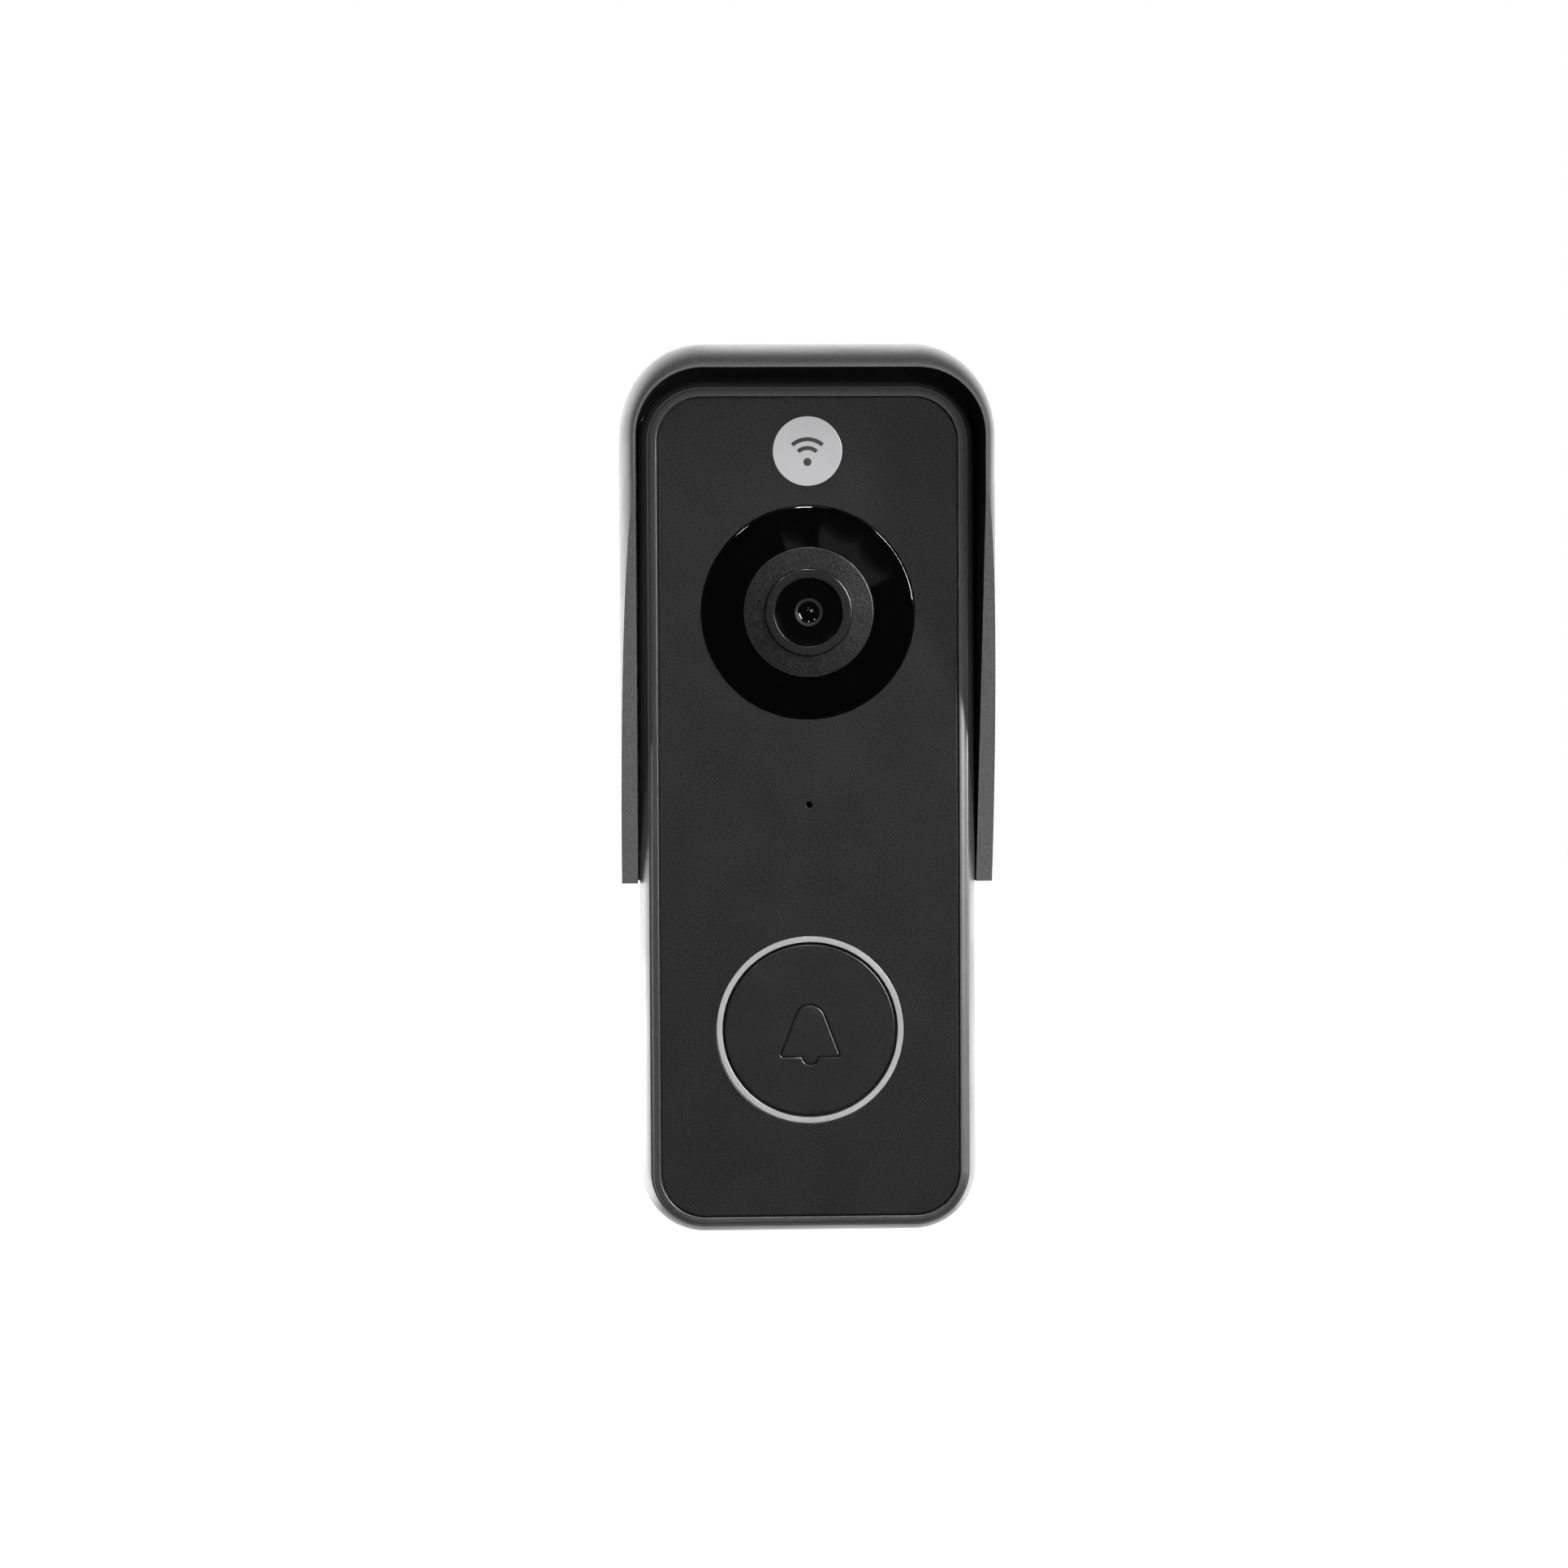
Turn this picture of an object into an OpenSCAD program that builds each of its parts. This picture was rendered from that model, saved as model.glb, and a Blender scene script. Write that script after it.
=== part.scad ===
// Video doorbell with a wall bracket and a slide-on rain hood.
// Millimetres. Z is up, the face looks along -Y and the wall is the plane Y = 0.
// The origin is midway between the two wall screws, on the wall.

/* [Body] */
// Width of the body
body_w = 50; // [50:0.5:54]
// Height of the body
body_h = 126.9; // [126.9:0.5:134]
// Distance from the wall to the face
body_depth = 27; // [27:0.5:30]
// Outer corner radius of the body, seen from the front
corner_r = 9.4; // [9:0.1:10]
// Thickness of the housing wall
wall_t = 2; // [1.8:0.1:2.2]
// Width of the flat rim around the face plate
rim_w = 1.24; // [1:0.02:1.4]
// How far the rim lies inside the widest part of the body
band_inset = 1.48; // [1.2:0.02:1.6]
// Depth of the rounded band between the rim and the side
band_depth = 4.6; // [3.5:0.1:5]
// How far the rim's outer edge lies behind its inner edge
rim_drop = 0.6; // [0.1:0.05:0.7]
// Gap between the rim and the face plate
plate_gap = 0.28; // [0.2:0.02:0.4]
// Thickness of the face plate
plate_t = 1.8; // [1.6:0.1:2]

/* [Camera] */
// Height of the lens above the origin
lens_y = 28.9; // [27:0.1:29]
// Outer radius of the glossy bezel
bezel_r = 15.7; // [15.5:0.1:16]
// Radius of the matt shroud inside the bezel
shroud_r = 9.6; // [9.4:0.1:9.7]
// Radius of the lens barrel
barrel_r = 6.42; // [6.3:0.01:6.45]
// Radius of the front glass
glass_r = 4.95; // [4.8:0.01:4.96]

/* [Call button] */
// Height of the call button's centre, below the origin
button_y = -32.9; // [-34:0.1:-32.5]
// Radius of the call button
button_r = 12.66; // [12.4:0.02:12.7]
// Inner radius of the light ring
ring_in_r = 13; // [12.96:0.01:13.04]
// Outer radius of the light ring
ring_out_r = 13.9; // [13.7:0.02:13.9]
// Travel of the call button
button_travel = 0.4; // [0.3:0.05:0.4]

/* [Small details] */
// Height of the badge above the origin
badge_y = 52.65; // [51:0.05:53]
// Radius of the badge
badge_r = 5.15; // [4.8:0.05:5.2]
// Height of the microphone hole
mic_y = 0.45; // [-0.5:0.05:1]
// Radius of the microphone hole
mic_hole_r = 0.45; // [0.4:0.05:0.6]

/* [Rain hood] */
// Clearance between the hood and the sides of the body
hood_gap = 0.35; // [0.3:0.05:0.4]
// Thickness of the hood's legs
hood_leg_t = 2.4; // [2:0.1:2.8]
// Inner height of the hood's roof above the origin
hood_roof_y = 64.2; // [64.2:0.1:66]
// Thickness of the roof at the wall
hood_roof_t = 4.4; // [4:0.1:4.8]
// How far the hood's lip stands in front of the face
hood_overhang = 11; // [9:0.5:12]
// Depth of the legs at their lower ends
hood_leg_depth = 20.5; // [18:0.5:22]
// Height of the legs' lower ends
hood_foot_y = -11.4; // [-13:0.05:-11]
// Height at which the hood's front edge starts to slant back
hood_slant_y = 45.6; // [40:0.1:48]

/* [Wall bracket] */
// Distance between the two wall screws
screw_spacing = 84; // [84:0.5:86]
// Radius of the wall screw holes
screw_hole_r = 2.25; // [2:0.05:2.5]
// Thickness of the bracket's sheet
bracket_t = 2.2; // [2:0.05:2.25]
// How far the body lifts to come off the hooks
lift = 5; // [4:0.5:5]

/* [Hidden] */
$fn = 64;

// Allowance that carries a cut cleanly past a face
cut = 1;
// Room between a screw's shank and its hole
screw_room = 0.05;

// Distances from the wall, back to front
rear_edge = 0.3;
cover_back = 2.6;
cover_front = 4.2;
flange_back = 4.8;
flange_front = 6.3;
board_back = 10;
board_front = 11.2;
plate_front = body_depth;
plate_back = body_depth - plate_t;
ledge_front = plate_back - 0.4;
ledge_back = ledge_front - 1.5;

// Insets from the body's outline
rim_in = band_inset + rim_w;
plate_in = rim_in + plate_gap;
flange_in = 3.8;
ledge_in = 5;

plate_w = body_w - 2 * plate_in;
plate_h = body_h - 2 * plate_in;
cover_in = wall_t + 0.2;

// The band's curve: 0 for a straight bevel, 1 for one that leaves the side without an edge
band_bow = 0.6;
band_steps = 6;

// Screws that close the case, measured to their centres
case_x = body_w / 2 - 5.8;
case_y = body_h / 2 - 6.65;
case_screw_r = 1;
case_screw_tip = 12;

// The bracket's hooks and the pockets that they enter
hook_x = 13;
hook_bottoms = [-42, 32];
hook_w = 6;
post_h = 3;
lip_h = 3.2;
lip_back = 4.5;
lip_front = 5.6;
pocket_floor = 6.1;
pocket_wall = 1.1;

// The security screw, its tab on the bracket and the pocket around them
tab_y = -51;
tab_t = 2;
tab_w = 10;
tab_front = 9.6;
lock_z = 7.6;
lock_r = 1.25;
lock_tip_y = -48;
lock_head_r = 2.3;
lock_head_h = 1.2;
lock_pocket = [11.2, 11.4];
lock_pocket_y = -52.5;
lock_pocket_floor = 10;

// The supply terminals
terminal_x = 6;
terminal_y = -18.5;
terminal_bay = [25, 13];
terminal_floor = 8.4;
terminal_shank_r = 1.7;

// Circuit boards
main_size = [39, 54];
main_y = 26;
main_posts = [[-16, 2], [16, 2], [-16, 50], [16, 50]];
power_size = [38, 40];
power_y = -24.5;
power_posts = [[-16.5, -7.5], [16.5, -7.5], [-16.5, -31], [16.5, -31]];
post_r = 2.2;
board_screw_r = 0.8;
board_screw_tip = 6.5;

// The call button's parts
button_board_front = 20.8;
guide_front = 24.3;
guide_r = 11.15;
skirt_r = 11;
snap_r = 11.9;
stem_r = 1.5;
guide_ear_x = 17.8;

// The bell engraved in the call button, measured from the button's centre to the middle of the groove
bell_r = 2.3;
bell_y = 1.35;
bell_lean = 20.65;
bell_foot_y = -4.06;
bell_clapper_r = 1.15;
bell_groove = 0.5;
bell_steps = 12;

// The speaker, which fires down through the bottom of the housing
speaker_w = 30;
speaker_back = 12.2;
speaker_front = 22.2;
speaker_bottom = -60.6;
speaker_top = -50.6;

// The reset button on the back
reset_y = -36;

// The hood's ribs and the grooves that they run in
rib_back = 11;
rib_front = 13;
rib_depth = 1.15;
rib_top = body_h / 2 - corner_r + 4;
groove_room = 0.15;
hood_lip_z = plate_front + hood_overhang;
hood_lip_t = 0.4;
hood_round = 78;
hood_round_z = 22;
hood_steps = 5;

black = [0.09, 0.09, 0.1];
soft_black = [0.14, 0.14, 0.15];
board_green = [0.05, 0.3, 0.16];
steel = [0.62, 0.63, 0.65];
gold = [0.8, 0.62, 0.25];

// ---------- shared shapes ----------
// Inside from_wall(), x runs across the face, y up it and z out from the wall.
module from_wall() rotate([90, 0, 0]) children();

// A rectangle with round corners, centred on the origin
module rounded(w, h, r) {
    square([w - 2 * r, h], center = true);
    square([w, h - 2 * r], center = true);
    for (x = [-1, 1], y = [-1, 1])
        translate([x * (w / 2 - r), y * (h / 2 - r)]) circle(r);
}

// A plate with round corners between two distances from the wall
module slab(w, h, r, back, front, x = 0, y = 0)
    translate([x, y, back]) linear_extrude(front - back) rounded(w, h, r);

// A block between two distances from the wall
module block(w, h, back, front, x = 0, y = 0)
    translate([x - w / 2, y - h / 2, back]) cube([w, h, front - back]);

// A disc or rod between two distances from the wall
module disc(r, back, front, x = 0, y = 0)
    translate([x, y, back]) cylinder(r = r, h = front - back);

// A tube between two distances from the wall
module tube(r_out, r_in, back, front, x = 0, y = 0)
    difference() {
        disc(r_out, back, front, x, y);
        disc(r_in, back - cut, front + cut, x, y);
    }

// Carries a profile round the body's outline: the profile's x is its inset, its y the distance from the wall
module around_body() {
    long = body_h - 2 * corner_r;
    wide = body_w - 2 * corner_r;
    for (side = [0, 180]) rotate([0, 0, side]) {
        translate([body_w / 2, 0, 0]) rotate([90, 0, 0])
            linear_extrude(long, center = true) mirror([1, 0]) children();
        translate([0, body_h / 2, 0]) rotate([90, 0, 90])
            linear_extrude(wide, center = true) mirror([1, 0]) children();
    }
    for (quarter = [0 : 3])
        translate([
            (quarter == 0 || quarter == 3 ? 1 : -1) * wide / 2,
            (quarter < 2 ? 1 : -1) * long / 2,
            0
        ])
            rotate([0, 0, quarter * 90]) rotate_extrude(angle = 90)
                translate([corner_r, 0]) mirror([1, 0]) children();
}

// A round-headed screw that points at the wall, with its head in front
module front_screw(shank_r, head_r, tip, seat, top, x, y) {
    disc(shank_r, tip, seat, x, y);
    difference() {
        disc(head_r, seat, top, x, y);
        block(head_r * 1.3, head_r * 0.3, top - 0.5, top + cut, x, y);
        block(head_r * 0.3, head_r * 1.3, top - 0.5, top + cut, x, y);
    }
}

// ---------- wall bracket ----------
module wall_plate() color(steel) from_wall() {
    difference() {
        slab(42, 106, 5, 0, bracket_t, 0, 1);
        for (y = [-1, 1]) disc(screw_hole_r, -cut, bracket_t + cut, 0, y * screw_spacing / 2);
        slab(28, 26, 3, -cut, bracket_t + cut, 0, -20);
    }
    for (x = [-hook_x, hook_x], y = hook_bottoms) {
        block(hook_w, post_h, bracket_t, lip_front, x, y + post_h / 2);
        block(hook_w, lip_h, lip_back, lip_front, x, y + post_h + lip_h / 2);
    }
    difference() {
        block(tab_w, tab_t, bracket_t, tab_front, 0, tab_y);
        translate([0, tab_y - tab_t, lock_z]) rotate([-90, 0, 0])
            cylinder(r = lock_r + 0.1, h = 2 * tab_t);
    }
}

// ---------- housing ----------
// Section of the housing: wall, rounded band, rim, ledge for the face plate and flange for the rear cover
module housing_section() {
    band_back = plate_front - rim_drop - band_depth;
    band = [
        for (i = [0 : band_steps])
            let(share = i / band_steps)
            [band_inset * share * (1 + band_bow * (share - 1)), band_back + band_depth * share]
    ];
    polygon(concat([[0, rear_edge]], band, [
        [rim_in, plate_front], [rim_in, ledge_front], [ledge_in, ledge_front], [ledge_in, ledge_back],
        [wall_t, ledge_back], [wall_t, flange_front], [flange_in, flange_front],
        [flange_in, flange_back], [wall_t, flange_back], [wall_t, rear_edge]
    ]));
}

module housing_frame() color(black) from_wall() difference() {
    union() {
        around_body() housing_section();
        for (x = [-case_x, case_x], y = [-case_y, case_y]) disc(2.2, flange_back, 14, x, y);
    }
    for (x = [-case_x, case_x], y = [-case_y, case_y])
        disc(case_screw_r + screw_room, flange_back - cut, case_screw_tip + 0.5, x, y);
    // Grooves for the hood's ribs, open at the top
    for (side = [-1, 1])
        block(
            2 * (rib_depth - hood_gap + groove_room), body_h / 2 - hood_foot_y + 0.4,
            rib_back - groove_room, rib_front + groove_room,
            side * body_w / 2, (body_h / 2 + hood_foot_y - 0.4) / 2
        );
    // Speaker slots through the bottom
    for (i = [-3 : 3])
        block(1.3, 3 * wall_t, speaker_back + 1.8, speaker_front - 1.8, i * 3.6, -body_h / 2);
    // The security screw's hole and the seat for its head
    translate([0, -body_h / 2 - cut, lock_z]) rotate([-90, 0, 0]) {
        cylinder(r = lock_r + screw_room, h = 2 * wall_t + cut);
        cylinder(r = lock_head_r + 0.15, h = cut + lock_head_h);
    }
}

module face_plate() color(soft_black) from_wall() difference() {
    union() {
        slab(plate_w, plate_h, corner_r - plate_in, plate_back, plate_front);
        for (x = [-guide_ear_x, guide_ear_x]) disc(2, 23.8, plate_back, x, button_y);
    }
    disc(14.6, plate_back - cut, plate_front + cut, 0, lens_y);
    disc(bezel_r + 0.12, plate_front - 0.8, plate_front + cut, 0, lens_y);
    disc(ring_out_r + 0.06, plate_back - cut, plate_front + cut, 0, button_y);
    disc(badge_r + 0.04, plate_front - 0.5, plate_front + cut, 0, badge_y);
    disc(mic_hole_r, plate_back - cut, plate_front + cut, 0, mic_y);
    for (x = [-guide_ear_x, guide_ear_x]) disc(0.8, 23, 25.6, x, button_y);
}

module front_gasket() color("dimgray") from_wall() around_body()
    translate([plate_in + 0.4, ledge_front]) square([1.4, plate_back - ledge_front]);

// The badge carries a plain dot under two arcs, a common sign for radio
module badge_disc() color("silver") from_wall() difference() {
    disc(badge_r, plate_front - 0.5, plate_front + 0.15, 0, badge_y);
    translate([0, badge_y - 1.6, plate_front + 0.05]) {
        cylinder(r = 0.55, h = cut);
        for (r = [1.7, 3])
            rotate([0, 0, 50]) rotate_extrude(angle = 80) translate([r, 0]) square([0.55, cut]);
    }
}

// ---------- camera ----------
module lens_bezel() color([0.02, 0.02, 0.02]) from_wall() translate([0, lens_y, 0]) rotate_extrude() {
    lip_r = 0.55;
    difference() {
        polygon([
            [shroud_r + 0.1, 24.6], [14.5, 24.6], [14.5, plate_front - 0.75], [bezel_r, plate_front - 0.75],
            [bezel_r, plate_front], [bezel_r - lip_r, plate_front + lip_r],
            [shroud_r + 0.1, plate_front + lip_r + 0.3]
        ]);
        // Room for the infrared lights behind the bezel
        translate([10.4, 24]) square([2.8, 1.9]);
    }
    intersection() {
        translate([bezel_r - lip_r, plate_front]) circle(lip_r);
        translate([bezel_r - lip_r, plate_front]) square(lip_r);
    }
}

module lens_shroud() color([0.16, 0.16, 0.17]) from_wall() translate([0, lens_y, 0]) rotate_extrude()
    polygon([
        [barrel_r + 0.06, 24], [shroud_r, 24], [shroud_r, plate_front + 1.1],
        [shroud_r - 0.2, plate_front + 1.25], [barrel_r + 0.06, plate_front + 1.45]
    ]);

module lens_barrel() color([0.12, 0.12, 0.12]) from_wall() translate([0, lens_y, 0]) rotate_extrude()
    polygon([
        [3.5, 13.6], [5.9, 13.6], [5.9, 21.5], [barrel_r, 21.5], [barrel_r, plate_front + 1.7],
        [barrel_r - 0.2, plate_front + 1.9], [glass_r + 0.35, plate_front + 1.9],
        [glass_r + 0.05, plate_front + 1.6], [glass_r + 0.05, 25], [3.5, 25]
    ]);

// A lens element with one domed face
module lens_element(r, back, edge, dome) {
    sphere_r = (r * r + dome * dome) / (2 * dome);
    disc(r, back, edge);
    intersection() {
        translate([0, 0, edge + dome - sphere_r]) sphere(sphere_r);
        disc(r, edge, edge + dome);
    }
}

module front_glass() color([0.1, 0.1, 0.14]) from_wall() translate([0, lens_y, 0])
    lens_element(glass_r, 25.9, 27.6, 1.1);

module iris_ring() color("black") from_wall() tube(glass_r, 1.86, 25.05, 25.85, 0, lens_y);

module inner_lens() color([0.2, 0.2, 0.3]) from_wall() translate([0, lens_y, 0])
    lens_element(3.4, 21, 23, 1.2);

module rear_lens() color([0.2, 0.25, 0.3]) from_wall() translate([0, lens_y, 0])
    lens_element(3.4, 15, 17, 0.8);

module lens_holder() color(black) from_wall() difference() {
    union() {
        block(17, 17, board_front, 15, 0, lens_y);
        disc(8, 14, 21, 0, lens_y);
    }
    block(11, 11, board_front - cut, 13.4, 0, lens_y);
    disc(5.95, 12, 22, 0, lens_y);
    for (side = [-1, 1]) disc(0.8 + screw_room, board_front - cut, 16, side * 7, lens_y - side * 7);
}

module holder_screws() color(steel) from_wall()
    for (side = [-1, 1])
        translate([side * 7, lens_y - side * 7, 0]) {
            disc(0.8, board_front, 15);
            difference() {
                disc(1.3, 15, 15.9);
                block(1.8, 0.4, 15.5, 16.5);
            }
        }

module image_sensor() color([0.3, 0.3, 0.35]) from_wall() {
    block(9, 8, board_front, 12.1, 0, lens_y);
    block(7, 6, 12.1, 12.4, 0, lens_y);
}

module infrared_filter() color([0.5, 0.2, 0.25]) from_wall() block(8, 8, 12.8, 13.3, 0, lens_y);

module infrared_board() color(board_green) from_wall() tube(13.2, 10, 22.4, 23.2, 0, lens_y);

module infrared_leds() color("ivory") from_wall() translate([0, lens_y, 0])
    for (i = [0 : 5]) rotate([0, 0, 60 * i + 30]) {
        block(2.2, 2.2, 23.2, 24, 11.7);
        disc(0.9, 24, 24.5, 11.7);
    }

// ---------- main board ----------
module board(size, y, posts) difference() {
    block(size[0], size[1], board_back, board_front, 0, y);
    for (p = posts) disc(board_screw_r + 0.2, board_back - cut, board_front + cut, p[0], p[1]);
}

module main_board() color(board_green) from_wall() board(main_size, main_y, main_posts);

module board_screws() color(steel) from_wall()
    for (p = concat(main_posts, power_posts))
        front_screw(board_screw_r, 1.7, board_screw_tip, board_front, board_front + 1.1, p[0], p[1]);

module processor() color([0.15, 0.15, 0.17]) from_wall() block(12, 12, 9, board_back, 0, 12);

module thermal_pad() color("lightsteelblue") from_wall() block(11, 11, 8.6, 9, 0, 12);

module heat_spreader() color([0.75, 0.76, 0.78]) from_wall() {
    slab(26, 19, 2, 7.6, 8.6, 0, 12);
    for (x = [-11.5, 11.5]) block(2, 12, 8.6, board_back, x, 12);
}

module memory_chips() color([0.13, 0.13, 0.14]) from_wall()
    for (y = [42, 50]) block(9, 6.4, board_front, 12.2, 7.5, y);

// A pressed can with dimples over the radio module
module radio_shield() color("silver") from_wall() difference() {
    block(13, 12, board_front, 13.6, -7, 46);
    block(12.4, 11.4, board_front - cut, 13.3, -7, 46);
    for (x = [-10, -4], y = [43.5, 48.5]) disc(0.6, 13, 14, x, y);
}

module radio_antenna() color(gold) from_wall() block(22, 0.5, 10, 17, 0, 61.1);

module board_link() color("ivory") from_wall() block(8, 7, board_front, 13.4, -8.8, -2.5);

// Chip resistors and capacitors in two short rows
module small_parts() color([0.55, 0.5, 0.42]) from_wall()
    for (x = [-15, -12, 9, 12, 15], y = [8, 12])
        block(1.6, 0.9, board_front, 11.9, x, y);

// ---------- microphone ----------
module mic_board() color(board_green) from_wall() block(7, 6, 22.4, 23, 0, mic_y);

module microphone() color(gold) from_wall() difference() {
    block(3.8, 3, 23, 24.1, 0, mic_y);
    disc(0.3, 23.8, 25, 0, mic_y);
}

module mic_boot() color("dimgray") from_wall() tube(2.6, 0.5, 24.1, plate_back, 0, mic_y);

// ---------- call button ----------
// A bell in outline, grown or shrunk by a margin: round top, leaning sides, foot line and clapper
module bell_shape(margin) {
    r = bell_r + margin;
    foot_y = bell_foot_y - margin;
    foot_x = (r + sin(bell_lean) * (bell_y - foot_y)) / cos(bell_lean);
    clapper_r = bell_clapper_r + margin;
    clapper_start = 180 + asin(margin / clapper_r);
    polygon(concat(
        [
            for (i = [0 : bell_steps])
                let (a = clapper_start + i * (540 - 2 * clapper_start) / bell_steps)
                [clapper_r * cos(a), bell_foot_y + clapper_r * sin(a)]
        ],
        [[foot_x, foot_y]],
        [
            for (i = [0 : bell_steps])
                let (a = bell_lean + i * (180 - 2 * bell_lean) / bell_steps)
                [r * cos(a), bell_y + r * sin(a)]
        ],
        [[-foot_x, foot_y]]
    ));
}

module call_button() color(soft_black) from_wall() translate([0, button_y, 0]) difference() {
    union() {
        disc(button_r, plate_back - 0.2, plate_front - 0.1);
        tube(skirt_r, skirt_r - 1, 21.3, plate_back);
        tube(snap_r, skirt_r - 1, 21.3, 22.1);
        disc(stem_r + 0.3, 22.5, plate_back);
    }
    translate([0, 0, plate_front - 0.4]) linear_extrude(cut) difference() {
        bell_shape(bell_groove / 2);
        bell_shape(-bell_groove / 2);
    }
}

module light_ring() color("whitesmoke") from_wall() {
    tube(ring_out_r, ring_in_r, 24.9, plate_front, 0, button_y);
    tube(15.6, ring_in_r, 23.9, 24.9, 0, button_y);
}

module ring_gasket() color("dimgray") from_wall() tube(15.6, 14.2, 24.9, plate_back, 0, button_y);

module button_guide() color(black) from_wall() translate([0, button_y, 0]) difference() {
    union() {
        disc(12.7, button_board_front, guide_front);
        disc(16, 22.6, 23.8);
        for (side = [-1, 1]) disc(2, 22.6, 23.8, side * guide_ear_x);
    }
    disc(guide_r, button_board_front - cut, guide_front + cut);
    disc(snap_r + 0.15, button_board_front - cut, 22.2);
    for (i = [0 : 11]) rotate([0, 0, 30 * i + 15]) disc(1, 22, 24.8, 14.2);
    for (side = [-1, 1]) disc(0.8, 22, 24.8, side * guide_ear_x);
}

module guide_screws() color(steel) from_wall()
    for (x = [-guide_ear_x, guide_ear_x]) translate([x, button_y, 0]) {
        disc(0.75, 22.6, 25.4);
        difference() {
            disc(1.6, 21.6, 22.6);
            block(2.2, 0.5, 21, 22);
        }
    }

module button_board() color(board_green) from_wall() disc(15.5, 19.8, button_board_front, 0, button_y);

module ring_leds() color("ivory") from_wall() translate([0, button_y, 0])
    for (i = [0 : 11]) rotate([0, 0, 30 * i + 15]) block(1.6, 0.8, button_board_front, 21.5, 14.2);

module switch_body() color("silver") from_wall() difference() {
    block(6, 6, button_board_front, 22, 0, button_y);
    disc(stem_r + 0.1, 21, 23, 0, button_y);
}

module switch_dome() color(gold) from_wall() disc(1.5, 21, 21.2, 0, button_y);

module switch_stem() color("black") from_wall() disc(stem_r, 21.7, 22.45, 0, button_y);

// A flat cable from the main board to the button board
module ribbon_cable() color([0.75, 0.5, 0.2]) from_wall() {
    block(8, 3, board_front, 12.8, 0, 3);
    block(8, 3, 18.2, 19.8, 0, -23);
    rotate([90, 0, 90]) linear_extrude(6, center = true)
        polygon([
            [3, 12.8], [3, 14.1], [-2, 16], [-20, 16], [-23.1, 17.1], [-23.1, 18.2],
            [-22.8, 18.2], [-22.8, 17.3], [-19.9, 16.3], [-2.1, 16.3], [3.3, 14.3], [3.3, 12.8]
        ]);
}

// ---------- speaker ----------
module speaker_block(w, y0, y1, inset)
    block(w, y1 - y0, speaker_back + inset, speaker_front - inset, 0, (y0 + y1) / 2);

module speaker_frame() color(black) from_wall() difference() {
    speaker_block(speaker_w, speaker_bottom, speaker_top, 0);
    speaker_block(speaker_w - 2.4, speaker_bottom - cut, speaker_top - 1.2, 1.2);
}

module speaker_magnet() color(steel) from_wall() speaker_block(16, speaker_bottom + 3, speaker_top - 1.2, 2.2);

module speaker_cone() color([0.25, 0.25, 0.27]) from_wall() {
    speaker_block(27.4, speaker_bottom + 0.4, speaker_bottom + 1, 1.3);
    speaker_block(10, speaker_bottom + 1, speaker_bottom + 2.6, 3);
}

module speaker_gasket() color("dimgray") from_wall() difference() {
    speaker_block(speaker_w, speaker_bottom - 0.8, speaker_bottom, 0);
    speaker_block(speaker_w - 3, speaker_bottom - 2, speaker_bottom + cut, 1.5);
}

// Two wires from the speaker to the power board
module speaker_wires() color("firebrick") from_wall()
    for (x = [-9, -7]) translate([x, 0, 0]) {
        translate([0, speaker_top, 15]) rotate([-90, 0, 0]) cylinder(r = 0.5, h = 8.6);
        translate([0, speaker_top + 8.6, 15]) sphere(0.5);
        disc(0.5, board_front, 15, 0, speaker_top + 8.6);
    }

// ---------- power board and terminals ----------
module power_board() color(board_green) from_wall() difference() {
    board(power_size, power_y, power_posts);
    for (x = [-terminal_x, terminal_x])
        disc(terminal_shank_r + screw_room, board_back - cut, board_front + cut, x, terminal_y);
}

module power_inductor() color([0.2, 0.2, 0.22]) from_wall() {
    slab(12, 12, 3, board_front, 17, 8, -33);
    disc(4.4, 17, 17.6, 8, -33);
}

module capacitors() color([0.2, 0.25, 0.4]) from_wall()
    for (y = [-36.5, -24.5, -14]) disc(3.9, board_front, 18.6, -12.5, y);

module terminal_plates() color(gold) from_wall() difference() {
    for (x = [-terminal_x, terminal_x]) block(9, 11, 7.5, terminal_floor, x, terminal_y);
    for (x = [-terminal_x, terminal_x])
        disc(terminal_shank_r + screw_room, 7, 9, x, terminal_y);
}

// Slotted screws whose heads face the wall
module terminal_screws() color(gold) from_wall()
    for (x = [-terminal_x, terminal_x]) translate([x, terminal_y, 0]) {
        disc(terminal_shank_r, 7, 12);
        difference() {
            disc(3.2, 5, 7);
            block(7, 0.8, 4, 5.9);
        }
    }

module reset_switch() color([0.3, 0.3, 0.3]) from_wall() {
    block(4.5, 4.5, 7.6, board_back, 0, reset_y);
    disc(1, 7.2, 7.6, 0, reset_y);
}

module reset_button() color("dimgray") from_wall() {
    disc(2, cover_back + 0.2, 6.5, 0, reset_y);
    disc(2.8, cover_front + 0.15, 5, 0, reset_y);
}

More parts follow.
